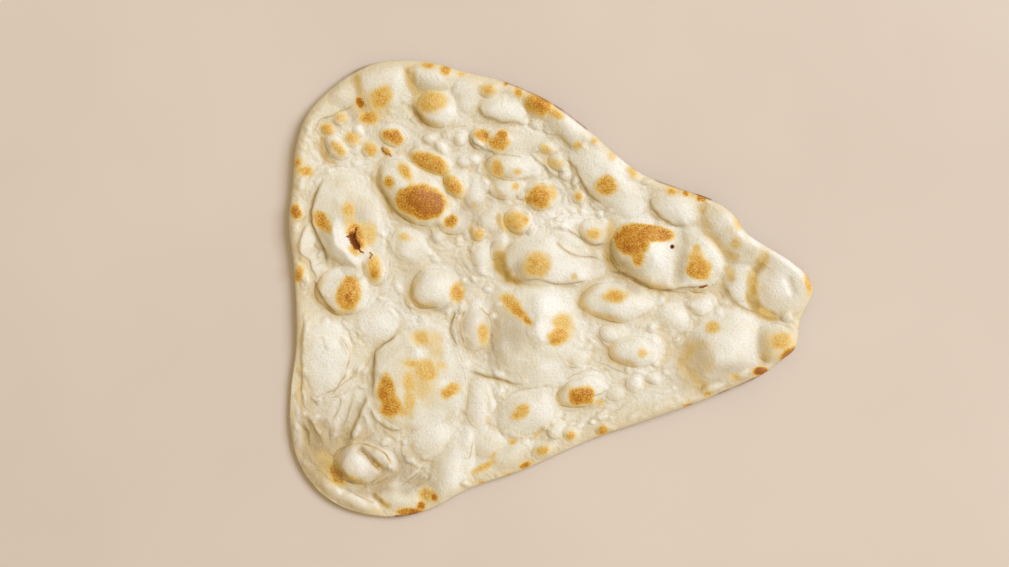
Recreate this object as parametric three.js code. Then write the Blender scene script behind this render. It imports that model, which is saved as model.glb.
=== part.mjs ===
// Naan: one teardrop slab of blistered flatbread, lying flat with its baked side up.
// Millimetres, +Z up. The origin is on the table under the middle of the bread,
// +X runs along the bread to its narrow tip and +Y across its wide end.
import * as THREE from "three";

// Size of the whole bread.
const LENGTH = 292;
const WIDTH = 255;

// Dough between the blisters, and the thicker roll along the rim.
const CRUMB = 4.2;
const ROLL = 1.6;
const ROLL_WIDTH = 18;

// Rounding of the rim: plan width of the upper round, height of the outermost line, and the
// inset of the underside from that line.
const EDGE_ROUND = 6;
const EDGE_HEIGHT = 2.4;
const UNDER_INSET = 2.5;

// The underside lies flat out to FLAT_SHARE of the way to the rim, then lifts off the table
// by RIM_LIFT on average, more or less by turns round the rim.
const FLAT_SHARE = 0.62;
const RIM_LIFT = 2.2;
const RIM_WAVES = [
  { turns: 2, height: 0.9, start: 0.6 },
  { turns: 3, height: 0.6, start: 2.1 },
  { turns: 7, height: 0.35, start: 0.3 },
];

// Mesh: rings of the upper face round the hub, and how much they crowd towards the rim.
// The underside has half as many rings.
const HUB = new THREE.Vector2(-25, 0);
const RINGS = 32;
const RING_CROWDING = 1.15;

// Outline, anticlockwise from the tip: the upper long side, the wide end, the lower long side.
const OUTLINE = [
  [146, 0], [139, 11], [126, 20], [109, 31], [102, 41], [90, 49.5], [70, 56.5], [50, 64.5],
  [36, 75], [20, 89.5], [0, 104], [-24, 115], [-48, 121], [-66, 126], [-84, 127.5],
  [-104, 124], [-122, 112], [-136, 97], [-142, 80], [-144, 58], [-146, 36], [-143.5, 14],
  [-142, -10], [-142, -32], [-145, -56], [-145.5, -78], [-141, -97], [-129, -114],
  [-112, -124], [-86, -127.5], [-66, -122.5], [-44, -111], [-16, -101.5], [24, -84],
  [64, -70], [96, -58], [118, -48], [128, -40.5], [136.5, -33], [139, -18],
];
const OUTLINE_SAMPLES = 1440;

// Blisters: middle x and y, length, width, turn of the length from +X in degrees, rise.
// Steep ones are taut bubbles with a crease all round.
const STEEP = 0.62;
const STEEP_BLISTERS = [
  // wide end, upper half
  [-64, 100, 25, 21, -35, 7], [-66, 70, 25, 11, -28, 4.5], [-54, 58, 18, 10, -50, 4],
  [-74, 52, 47, 27, -36, 9], [-88, 84.5, 16, 11, -25, 3.5], [-119, 79, 18, 11, -50, 4],
  [-28, 83, 15, 14, 20, 4.5], [-114, -2, 31, 26, 25, 7.5], [-98, 12, 20, 12, 95, 5],
  [-66, 0, 28, 22, 10, 6.5], [-55, 37, 10, 10, 0, 3.5],
  // wide end, lower half
  [-75, -50, 58, 47, 75, 6], [-126, -38, 47, 27, 86, 3.6], [-106, -98, 34, 23, -12, 7],
  [-58, -57, 14, 10, 20, 2.5],
  // middle
  [-22, 68, 31, 15, 0, 5], [-5, 51.5, 16, 15, 0, 4.5], [-19, 37.5, 17, 15, 0, 4.5],
  [23, 31, 27, 14, -15, 4.5], [34, -8, 40, 21, -6, 6], [17, -58, 30, 22, 25, 5.5],
  [45, -35, 29, 18, -8, 5], [15, -37, 14, 12, 0, 3],
  // tip
  [52, 18, 38, 36, -20, 10], [83, 15, 26, 32, 10, 9], [68, 43, 28, 18, -12, 5],
  [96, 33, 38, 24, -52, 7], [129, 1, 37, 33, 100, 9], [127, -30, 27, 22, 10, 7],
  [96, -33, 42, 36, 10, 8.5],
];
// Soft ones are pillows that run out into the dough.
const SOFT = 1.5;
const SOFT_BLISTERS = [
  [-93, 113, 34, 28, 20, 6], [-66, 118, 30, 20, -10, 5.5], [-47, 108, 24, 18, 70, 4],
  [-27, 99, 34, 17, -10, 5], [-4, 101, 26, 15, -28, 5], [8, 91, 34, 14, -40, 4],
  [-114, 36, 52, 40, 115, 7.5], [-80, 24, 24, 18, -40, 3.6], [30, 60, 64, 24, -45, 6.5],
  [-6, 15, 50, 32, 0, 7.5], [15, 9, 26, 18, 0, 4], [-4, -20, 54, 46, 60, 8.5],
  [-47, -22, 32, 22, 95, 3.5], [-97, -20, 22, 20, 0, 3], [-68, -84, 24, 24, 0, 3],
  [-40, -64, 30, 15, 80, 4], [-53, -98, 40, 20, 72, 5], [-36, -86, 20, 18, 0, 3.5],
  [-14, -67, 42, 25, 10, 5], [67, -16, 20, 14, 0, 3], [105, 6, 24, 18, 90, 4],
  [-115, -114, 40, 14, -30, 3.5], [-86, -119, 30, 16, -10, 3.5], [-24, -90, 22, 16, 20, 2.6],
];
// How sharply neighbouring blisters stay apart where they meet: larger is sharper.
const CREASE_SHARPNESS = 5;

const DOUGH = new THREE.MeshStandardMaterial({ color: 0xe6d8b8, roughness: 0.85, metalness: 0 });

// The outline as a smooth closed line, scaled to the length and width and centred on the origin.
function outlinePoints() {
  const corners = OUTLINE.map(([x, y]) => new THREE.Vector3(x, y, 0));
  const points = new THREE.CatmullRomCurve3(corners, true).getPoints(OUTLINE_SAMPLES);
  const box = new THREE.Box3().setFromPoints(points);
  const middle = box.getCenter(new THREE.Vector3());
  const size = box.getSize(new THREE.Vector3());
  const scale = new THREE.Vector3(LENGTH / size.x, WIDTH / size.y, 1);
  return points.map((p) => p.sub(middle).multiply(scale));
}

// Distance from the hub to the outline as a function of the angle, by straight interpolation.
function rimRadiusByAngle() {
  const polar = outlinePoints()
    .map((p) => ({ angle: Math.atan2(p.y - HUB.y, p.x - HUB.x), radius: HUB.distanceTo(p) }))
    .sort((a, b) => a.angle - b.angle);
  const first = polar[0];
  const last = polar[polar.length - 1];
  polar.unshift({ angle: last.angle - 2 * Math.PI, radius: last.radius });
  polar.push({ angle: first.angle + 2 * Math.PI, radius: first.radius });
  return (angle) => {
    const after = polar.findIndex((p) => p.angle >= angle);
    const a = polar[after - 1];
    const b = polar[after];
    return THREE.MathUtils.mapLinear(angle, a.angle, b.angle, a.radius, b.radius);
  };
}

const rimRadius = rimRadiusByAngle();

// Height of one blister over the dough, 0 outside it.
function blisterHeight([x, y, length, width, turn, rise], steepness, at) {
  const away = new THREE.Vector2(at.x - x, at.y - y);
  away.rotateAround(new THREE.Vector2(), -THREE.MathUtils.degToRad(turn));
  const reach = (2 * away.x / length) ** 2 + (2 * away.y / width) ** 2;
  return reach < 1 ? rise * (1 - reach) ** steepness : 0;
}

// Height of all blisters together: the highest one rules, with a crease between neighbours.
function blisterRise(at) {
  const sum = [[STEEP_BLISTERS, STEEP], [SOFT_BLISTERS, SOFT]]
    .flatMap(([list, steepness]) => list.map((one) => blisterHeight(one, steepness, at)))
    .reduce((total, height) => total + height ** CREASE_SHARPNESS, 0);
  return sum ** (1 / CREASE_SHARPNESS);
}

// How far the underside has lifted off the table.
function liftAt(share, angle) {
  const waves = RIM_WAVES.reduce(
    (sum, wave) => sum + wave.height * Math.sin(wave.turns * angle + wave.start), RIM_LIFT);
  return waves * THREE.MathUtils.smoothstep(share, FLAT_SHARE, 1);
}

// Upper face: crumb, rim roll and blisters, rounded down to the outermost line.
function upperHeight(at, share, angle) {
  const fromRim = (1 - share) * rimRadius(angle);
  const round = Math.sqrt(1 - (1 - Math.min(fromRim / EDGE_ROUND, 1)) ** 2);
  const roll = ROLL * (1 - THREE.MathUtils.smoothstep(fromRim, 0, ROLL_WIDTH));
  const thickness = CRUMB + roll + blisterRise(at);
  return liftAt(share, angle) + EDGE_HEIGHT + (thickness - EDGE_HEIGHT) * round;
}

function underHeight(at, share, angle) {
  return liftAt(share, angle);
}

// A square grid drawn out into rings round the hub, out to the rim less an inset.
// Gives the grid and its outermost ring of vertex numbers in order of angle.
function ringedSheet(rings, inset, heightAt) {
  const sheet = new THREE.PlaneGeometry(2, 2, 2 * rings, 2 * rings);
  const position = sheet.getAttribute("position");
  const rim = [];
  for (let i = 0; i < position.count; i += 1) {
    const across = position.getX(i);
    const up = position.getY(i);
    const square = Math.max(Math.abs(across), Math.abs(up));
    const eighths = Math.abs(across) > Math.abs(up)
      ? up / across + (across < 0 ? 4 : 0)
      : 2 - across / (up || 1) + (up < 0 ? 4 : 0);
    const angle = Math.atan2(Math.sin(eighths * Math.PI / 4), Math.cos(eighths * Math.PI / 4));
    const share = 1 - (1 - square) ** RING_CROWDING;
    const radius = share * (rimRadius(angle) - inset);
    const at = new THREE.Vector2(radius * Math.cos(angle), radius * Math.sin(angle)).add(HUB);
    position.setXYZ(i, at.x, at.y, heightAt(at, share, angle));
    if (square > 1 - 0.5 / rings) rim.push({ vertex: i, angle });
  }
  rim.sort((a, b) => a.angle - b.angle);
  splitCellsOutwards(sheet, rings);
  return { sheet, rim: rim.map((r) => r.vertex) };
}

// Splits each grid cell along the diagonal that runs away from the hub: the plane's own
// diagonals do so in two quarters of the grid, and in the other two they are turned.
function splitCellsOutwards(sheet, rings) {
  const faces = sheet.index.array;
  const cells = 2 * rings;
  for (let row = 0; row < cells; row += 1) {
    for (let column = 0; column < cells; column += 1) {
      if ((row < rings) !== (column < rings)) continue;
      const start = 6 * (row * cells + column);
      const [a, b, d, , c] = faces.slice(start, start + 5);
      faces.set([a, b, c, a, c, d], start);
    }
  }
}

// The bread: upper and under sheets, and a band that joins two upper steps to one under step.
function breadGeometry() {
  const upper = ringedSheet(RINGS, 0, upperHeight);
  const under = ringedSheet(RINGS / 2, UNDER_INSET, underHeight);
  const upperCount = upper.sheet.getAttribute("position").count;
  const underFaces = Array.from(under.sheet.index.array, (v) => v + upperCount).reverse();
  const faces = [...upper.sheet.index.array, ...underFaces];
  const top = (step) => upper.rim[step % upper.rim.length];
  const low = (step) => under.rim[step % under.rim.length] + upperCount;
  for (let step = 0; step < under.rim.length; step += 1) {
    faces.push(top(2 * step), low(step), top(2 * step + 1));
    faces.push(top(2 * step + 1), low(step), low(step + 1));
    faces.push(top(2 * step + 1), low(step + 1), top(2 * step + 2));
  }
  const points = [upper, under].flatMap(({ sheet }) => [...sheet.getAttribute("position").array]);
  const bread = new THREE.BufferGeometry();
  bread.setAttribute("position", new THREE.Float32BufferAttribute(points, 3));
  bread.setIndex(faces);
  bread.computeVertexNormals();
  return bread;
}

const naan = new THREE.Mesh(breadGeometry(), DOUGH);
naan.name = "naan";

const part = new THREE.Group();
part.add(naan);

export default part;
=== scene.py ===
"""Naan: a teardrop of blistered flatbread on a pale studio floor, seen from straight above."""

import math
from typing import NamedTuple

import bmesh
import bpy
import numpy as np
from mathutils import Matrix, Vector


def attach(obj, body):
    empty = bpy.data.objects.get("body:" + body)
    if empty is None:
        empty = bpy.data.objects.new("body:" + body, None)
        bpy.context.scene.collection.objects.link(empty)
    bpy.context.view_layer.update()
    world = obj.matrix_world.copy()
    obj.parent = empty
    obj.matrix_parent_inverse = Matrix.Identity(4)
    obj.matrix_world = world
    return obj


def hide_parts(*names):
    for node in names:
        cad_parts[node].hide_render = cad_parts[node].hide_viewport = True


bl_info = {
    "name": "Naan Bread",
    "version": (1, 0, 0),
    "blender": (4, 5, 0),
    "location": "3D View > Sidebar > Naan",
    "description": "Bakes one blistered teardrop naan and sets a studio round it",
    "category": "Add Mesh",
}

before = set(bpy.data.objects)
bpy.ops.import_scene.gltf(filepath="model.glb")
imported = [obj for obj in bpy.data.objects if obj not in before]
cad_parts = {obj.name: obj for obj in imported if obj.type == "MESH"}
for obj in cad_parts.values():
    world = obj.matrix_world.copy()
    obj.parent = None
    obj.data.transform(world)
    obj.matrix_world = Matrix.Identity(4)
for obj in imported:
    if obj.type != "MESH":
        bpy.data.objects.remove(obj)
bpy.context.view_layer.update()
BREAD_NODE = "naan"

# Sizes are in millimetres and turns in degrees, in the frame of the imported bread, but for the settings
# and the stage, which are in metres.
MM = 0.001

# The rings of the bread's mesh run round this point.
HUB = np.array((-25.0, 0.0))
# Over 1, the rings lie closer together towards the rim.
RING_CROWDING = 1.12
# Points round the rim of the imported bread.
RIM_POINTS = 256
# Strewn details lie within this far of the origin, along x and along y.
STREWN_REACH = np.array((146.0, 128.0))
# Blisters are steepest towards this side, from +X, and run out softly on the other.
STEEP_SIDE = 215.0
# Keeps divisions away from zero.
TINY = 1e-6

# The tables' rows were placed one by one.
# Blisters: middle x and y, length, width, turn of the length from +X, rise.
# Taut ones are bubbles with a crisp foot.
TAUT_BLISTERS = [
    # wide end, upper half
    (-63.5, 100, 23, 21, -35, 5.2),
    (-66.5, 70, 26, 12.5, -25, 4.0),
    (-53.5, 57.5, 16, 10.5, -45, 3.6),
    (-74.5, 51, 44, 27, -36, 7.2),
    (-83.5, 60, 28, 24, -30, 5.8),
    (-88, 84.5, 16, 11, -20, 2.8),
    (-119.5, 79, 17, 11, -50, 3.2),
    (-28, 82.5, 15, 14, 20, 3.6),
    (-115.5, -1, 31, 26, 10, 6),
    (-98, 11, 20, 12, 95, 3.6),
    (-65.5, 0, 28, 22, 10, 5.2),
    (-54, 36, 15, 14, 0, 2.8),
    # wide end, lower half
    (-105, -98.5, 33, 22, -12, 4.4),
    (-57.5, -57, 13, 10, 20, 2),
    # middle
    (-22, 68.5, 30, 16, -3, 4),
    (-5, 51, 17, 15, 0, 3.6),
    (-18.5, 37.5, 16.5, 14, 0, 3.6),
    (25, 31.5, 20, 15, -15, 3.6),
    (37, -7.5, 42, 22, 0, 4.8),
    (16.5, -58, 27, 17, 20, 4),
    (46.5, -35.5, 29, 18, -5, 4),
    (13.5, -38, 13, 11, 20, 2),
    # tip
    (65, 17, 65, 37, -8, 5.2),
    (51, 22, 36, 31, -20, 7.6),
    (82, 14.5, 28, 33, 10, 7.2),
    (125, -31, 26, 22, 0, 5.4),
]
# Pillows run out softly into the dough.
PILLOWS = [
    (-66, 117, 26, 16, -5, 4.2),
    (-27, 99.5, 27, 15, -12, 4.2),
    (-24, 82, 36, 17, 0, 2.1),
    (-6, 102, 18, 15, -25, 4.2),
    (8, 91, 34, 14, -40, 2.4),
    (-114, 38, 54, 38, 105, 5.5),
    (-136, 28, 20, 9, 70, 1.7),
    (-79, 23, 24, 18, -40, 2.5),
    (31, 60, 54, 24, -45, 5.5),
    (-6, 15.5, 44, 27, 5, 6.4),
    (14, 9, 26, 14, 0, 3),
    (10, 25, 22, 10, -25, 2.1),
    (-42.3, -22, 26, 16, 93, 3.2),
    (-126, -38, 45, 26, 86, 2.5),
    (-74, -50.5, 58, 52, 80, 4.8),
    (-68, -84, 24, 20, 0, 2.5),
    (-40, -63, 28, 14, 80, 3.4),
    (-48, -88, 26, 11, 80, 3),
    (-36, -86, 20, 18, 0, 2.5),
    (67, -16, 18, 13, -10, 2.5),
    (68.5, 44, 28, 19, -12, 4.2),
    (105, 3, 22, 18, 90, 3),
    (130.5, 2.5, 36, 33, 90, 3.4),
    (100, 30, 42, 25, -52, 4.6),
    (-112, -116, 40, 12, -28, 3),
    (-84, -117, 24, 13, -15, 2.5),
    (-22, -92, 24, 12, 25, 2.2),
]
# Mounds have no foot that shows.
MOUNDS = [
    (-93, 113, 33, 28, 20, 5.5),
    (-113.5, 107.5, 16, 14, 0, 2.1),
    (-47, 108, 22, 18, 70, 3),
    (-8, -25, 54, 46, 70, 7),
    (-97, -20, 22, 20, 0, 2.1),
    (-55, -100, 42, 18, 72, 4.6),
    (-12, -69, 34, 24, 25, 4.6),
    (96, -33, 42, 37, 10, 7.2),
]
# Bumps are the small blisters between the large ones.
BUMPS = [
    (-34.5, 111, 13, 9, 0, 3.2),
    (-58.3, 121.5, 8, 7, 0, 2),
    (-117, 95, 8, 7, 0, 1.8),
    (-124, 88.5, 8, 6, 0, 2),
    (-110.5, 83, 9, 8, 0, 1.8),
    (-101, 77.5, 8, 7, 0, 1.8),
    (-91, 77, 8, 5, -40, 1.6),
    (-142, 43, 9, 9, 0, 2.2),
    (-140, 9, 12, 7, 105, 2),
    (-40, 83.5, 10, 9, -45, 3),
    (-43, 72, 8, 7, 0, 1.6),
    (-25, 56, 18, 13, 0, 2.6),
    (-40, 30.5, 10, 9, 0, 2.4),
    (-34, 37, 14, 12, 0, 2),
    (-38, 19, 13, 12, 0, 2),
    (-29, 23, 15, 7, 75, 2),
    (15.5, 50.5, 8, 7, 0, 1.8),
    (-2.5, 77.5, 10, 6, -25, 2),
    (4, 70, 13, 9, -15, 2.8),
    (15, 79.5, 10, 7, -20, 2.2),
    (24.5, 82, 7, 6, 0, 1.4),
    (34, 73, 10, 9, 0, 1.8),
    (45, 64.5, 12, 9, -55, 2.2),
    (117, -46, 9, 4, 0, 1.6),
    (90, -55, 14, 7, 20, 2.2),
    (35, -25, 17, 11, 0, 2.2),
    (84, -10, 14, 11, 0, 2.2),
    (46, -54, 10, 9, 0, 2),
    (36, -59, 11, 7, 0, 1.8),
    (57, -51, 10, 6, 0, 1.6),
    (11, -81.5, 10, 8, 0, 2.2),
    (2, -80, 10, 8, 0, 2),
    (-4, -89.5, 13, 8, 15, 2.2),
    (29, -79, 8, 5, 40, 1.8),
    (-68, 83, 7, 6, 0, 1.8),
    (-61, 78, 9, 6.5, -40, 2.1),
    (-50, 83, 7.5, 6.5, 0, 2),
    (-48, 70, 8, 6.5, 0, 1.9),
    (-42, 53, 16, 10, 60, 2),
    (-62, 29, 8, 6, 0, 1.6),
    (-82, -117, 9, 8, 0, 1.2),
]

# Each kind of blister, with how crisp its foot is, from 0 to 1.
BLISTER_KINDS = ((TAUT_BLISTERS, 0.7), (PILLOWS, 0.28), (MOUNDS, 0.05), (BUMPS, 0.6))

# Lines run through their points. Folds stand up on the left of their way along:
# height of the lip, how far it runs out, points.
FOLDS = [
    # left side
    (1, 6, [(-126, 62), (-130.5, 53), (-133, 45), (-133.5, 40), (-130, 29), (-125.5, 20), (-124, 13)]),
    (0.7, 5, [(-134, 38), (-137, 33), (-140, 27), (-140, 20), (-135, 16), (-133, 11), (-130, 2)]),
    (1, 5, [(-132, 5), (-130, 1), (-127, -5), (-123.5, -10.5), (-119, -14.5)]),
    (0.9, 6, [(-137, -12), (-138, -23), (-138.4, -34), (-138.8, -48), (-139, -59), (-137, -70)]),
    (
        0.7,
        8,
        [(-123, -61), (-119.3, -55.2), (-115.1, -49.3), (-112.4, -38.4), (-113.4, -33.3), (-119, -23)],
    ),
    (1.0, 5, [(-135.5, -71), (-134, -74.5), (-130.6, -80.3), (-128.5, -83.7), (-127, -89)]),
    (0.8, 4, [(-137.6, -74.5), (-136.8, -77.5), (-135.2, -82), (-134.8, -88.5)]),
    (0.5, 3, [(-139, -79.5), (-136, -78.5), (-133.5, -79.5)]),
    (0.8, 4, [(-102, -59), (-104.5, -66), (-108.5, -74), (-110.8, -80), (-113, -87)]),
    (0.5, 4, [(-108, -47), (-116, -53.5), (-124, -58), (-133, -62.4)]),
    (0.4, 4, [(-112, -57), (-120, -60.5), (-129, -62)]),
    (0.6, 3, [(-134.4, -60.4), (-132, -63), (-129.6, -65.8)]),
    (0.5, 3, [(-125, -73), (-123.6, -78), (-123, -85)]),
    (0.5, 3, [(-121.5, -72), (-121, -78), (-121.8, -84)]),
    (1, 5, [(-84, -24), (-91, -30), (-97.3, -35), (-98.4, -43), (-99, -52), (-100.3, -60)]),
    (0.7, 5, [(-100.2, -66), (-98.6, -72), (-94, -76.5), (-89, -78.6), (-81, -79.5)]),
    (0.4, 5, [(-46, -55), (-49, -45), (-51, -36), (-54, -27), (-60, -22)]),
    (0.5, 4, [(-136, -92), (-131, -99), (-125, -105), (-119, -110)]),
    (0.5, 4, [(-117, -58), (-118, -66), (-121, -74), (-123, -82), (-122, -88)]),
    (0.4, 4, [(-110, -56), (-111, -64), (-114, -72), (-117, -79)]),
    (0.4, 4, [(-97, -80), (-102, -83), (-106, -86)]),
    (0.4, 4, [(-84, -84), (-83, -92), (-80, -99)]),
    (0.4, 3, [(-88, -88), (-86, -93), (-83, -98)]),
    (0.3, 4, [(-128, -26), (-125.5, -31), (-124, -35)]),
    # curled blister
    (0.8, 5, [(-125, -91.5), (-121.5, -94), (-120.5, -100), (-117.5, -106), (-114.5, -111)]),
    (
        0.9,
        4,
        [(-86.5, -99.5), (-89, -97), (-92, -93), (-98.5, -88.6), (-105, -86.6), (-114, -88), (-119, -91.5)],
    ),
    (0.8, 3, [(-107, -90), (-102.4, -94), (-98.4, -98.2), (-95, -102)]),
    (0.6, 5, [(-98, -120), (-104, -117), (-110, -114), (-115, -111)]),
    (0.7, 4, [(-90.5, -101.5), (-95, -105), (-100, -107.6), (-105, -108.6)]),
    (0.5, 4, [(-115, -87.3), (-112.7, -85.5), (-112, -82.5)]),
    (0.5, 4, [(-81, -107), (-76.5, -105), (-73.5, -102.5), (-71, -99)]),
    (0.4, 3, [(-80, -94.5), (-78.4, -92.6)]),
    (0.4, 3, [(-77, -113), (-73, -108.5), (-69, -105)]),
    # upper left
    (0.7, 5, [(-133, 85), (-131, 89), (-128, 94), (-121, 97), (-114, 100), (-107, 104)]),
    (0.7, 5, [(-40, 102), (-38, 97), (-33, 95.5), (-26, 92.5), (-18, 92.5), (-14, 90.5)]),
    (0.6, 4, [(-45, 85), (-43, 81), (-38, 78), (-30, 75), (-22, 74.5), (-14, 72.5)]),
    (0.5, 4, [(-12.5, 75), (-9, 73), (-4, 68), (-1, 64), (1, 61)]),
    (0.4, 3, [(-5, 71), (-1, 66), (3, 62), (9, 60)]),
    (0.5, 4, [(-5, 92), (-3, 88), (0, 86), (5, 85), (9, 81), (13, 77)]),
    (0.4, 3, [(-66.5, 33), (-66, 29), (-63, 25)]),
    (0.5, 4, [(-91.5, 3), (-90, 9), (-90, 16), (-91, 22)]),
    (0.3, 3, [(-77, 12), (-82, 13.5), (-89, 15.5)]),
    # middle
    (0.7, 6, [(4, 76), (10, 71), (15, 65), (18, 57), (21, 53), (25, 49.5), (32, 44.5)]),
    (0.7, 4, [(8.5, 33.5), (12, 31), (16, 28.5), (21, 25), (26, 24), (31, 25.5)]),
    (0.6, 5, [(2, 28), (5, 24), (9, 20.5), (15, 18.3), (22, 18), (28, 16)]),
    (0.7, 5, [(-17, 5), (-8, 4.8), (0, 3.2), (8, 2.5), (15, 3), (22, 5)]),
    (0.8, 4, [(-52.5, -12), (-55, -18), (-55.3, -24.5), (-51, -33)]),
    (0.8, 4, [(-46, -35.5), (-49.3, -29), (-50.3, -18.5), (-46, -10)]),
    (0.7, 5, [(-32.7, -23), (-33.4, -18), (-36, -13.5), (-41, -9.8)]),
    (0.7, 5, [(-46, -46), (-38, -48.5), (-30, -50), (-22, -52.5), (-15, -53)]),
    (0.4, 4, [(-22, -58), (-14, -56), (-4, -55.5)]),
    (0.6, 5, [(-45.5, -96), (-44, -87), (-41, -77)]),
    (0.5, 4, [(-85, -111), (-80, -107.5), (-75, -104), (-69, -97)]),
    (0.4, 3, [(-66, -104), (-70, -108), (-76, -112)]),
    (0.3, 3, [(-45, -104), (-50, -109)]),
    (0.5, 4, [(25, -25), (29, -30), (32, -34)]),
    (0.5, 3, [(23, -60.5), (28, -58), (32, -56)]),
    (0.4, 4, [(8, -50.5), (14, -48), (21, -45)]),
    # tip
    (1.3, 7, [(32, 9.5), (38, 9), (45, 6.5), (51, 2.6), (59, -0.6), (68, -0.6), (78, 0.6), (88, 2)]),
    (0.7, 5, [(55, 51), (56, 46), (60, 40.5), (66, 36.5), (71, 35.2), (78, 35.5)]),
    (0.6, 5, [(97, 2), (100, -5), (104, -9), (110, -12.5), (117, -14)]),
]
# Ridges fall away like a tent: height, run-out on the left of their way along and on the right, points.
RIDGES = [
    (4.2, 13, 8.5, [(-120, 38), (-120.5, 29), (-117.5, 22.5), (-111.5, 16), (-106, 10.5), (-102, 6)]),
    (1.0, 12, 5, [(55, 27), (57, 18), (62, 9)]),
    (1.6, 14, 7, [(-9, -2), (-7, -12), (-7.5, -22), (-4, -33)]),
    (1.3, 9, 15, [(-98, -50), (-91, -41), (-84, -34), (-75, -27)]),
    (0.9, 6, 5, [(72, 30), (82, 28.5), (89, 23), (93.5, 14), (93, 6)]),
    (
        2.8,
        13,
        5,
        [(-106, -88), (-112.5, -91), (-115, -96), (-115.5, -100), (-112, -104.5), (-106, -108.5)],
    ),
    (1.8, 4, 3, [(-101, -90), (-95, -92.5), (-91.5, -95.5), (-89.5, -98.5), (-91, -101.5)]),
]
# Slits, dimples and pits are pressed in: width, depth, how dark, points. Past 1.1, the darkness is the
# black painted shade of a deep pit.
SLITS = [
    (2.8, 2.4, 1.0, [(-110.4, 29.2), (-109.6, 26.2), (-107.8, 23.4)]),
    (1.3, 1.6, 1.7, [(67.5, 23.5), (67.7, 23.2)]),
    (2.6, 2.6, 0.2, [(-106, -90.8), (-101.5, -94.6), (-97.8, -98.4), (-94.8, -101)]),
    (5.0, 3.0, 0.0, [(-126, -97.5), (-121.5, -101.5), (-118.5, -105.5), (-115, -110.5)]),
    (2.6, 1.4, 0.0, [(-99.4, -113.8), (-98, -117), (-95.5, -120)]),
    (3.4, 1.0, 0.0, [(131.6, 4.5), (132.8, 1.5), (134, -2)]),
    (5.0, 0.9, 0.0, [(70.5, 34), (71.5, 26), (71.5, 18), (70, 10), (69.5, 4)]),
    (3.0, 0.8, 0.0, [(-79, 100), (-75, 95), (-70, 90.5)]),
]

# Cracks of the skin: how plainly they show, points.
CRACKS = [
    (0.75, [(-113.4, 28.2), (-112.4, 29.4), (-111, 29.6), (-109.6, 28.6)]),
    (0.9, [(-107.6, 34.6), (-108.4, 32.3), (-109.2, 30), (-109.8, 27.6)]),
    (0.9, [(-108.2, 24), (-106.6, 21.8), (-105.6, 19.8)]),
    (0.6, [(-101, 20.8), (-99.8, 19.6), (-100, 17.8), (-100.8, 16)]),
    (0.7, [(-105.4, 20.8), (-103.6, 19.4)]),
    (0.4, [(-106.4, 105.6), (-104.6, 103.2), (-102.6, 100.6)]),
    (0.5, [(-95.4, 79.4), (-92, 75.6), (-88.2, 73.6)]),
    (0.75, [(81.8, 1.2), (85, 0.9), (88.4, 1.8)]),
]

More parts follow.
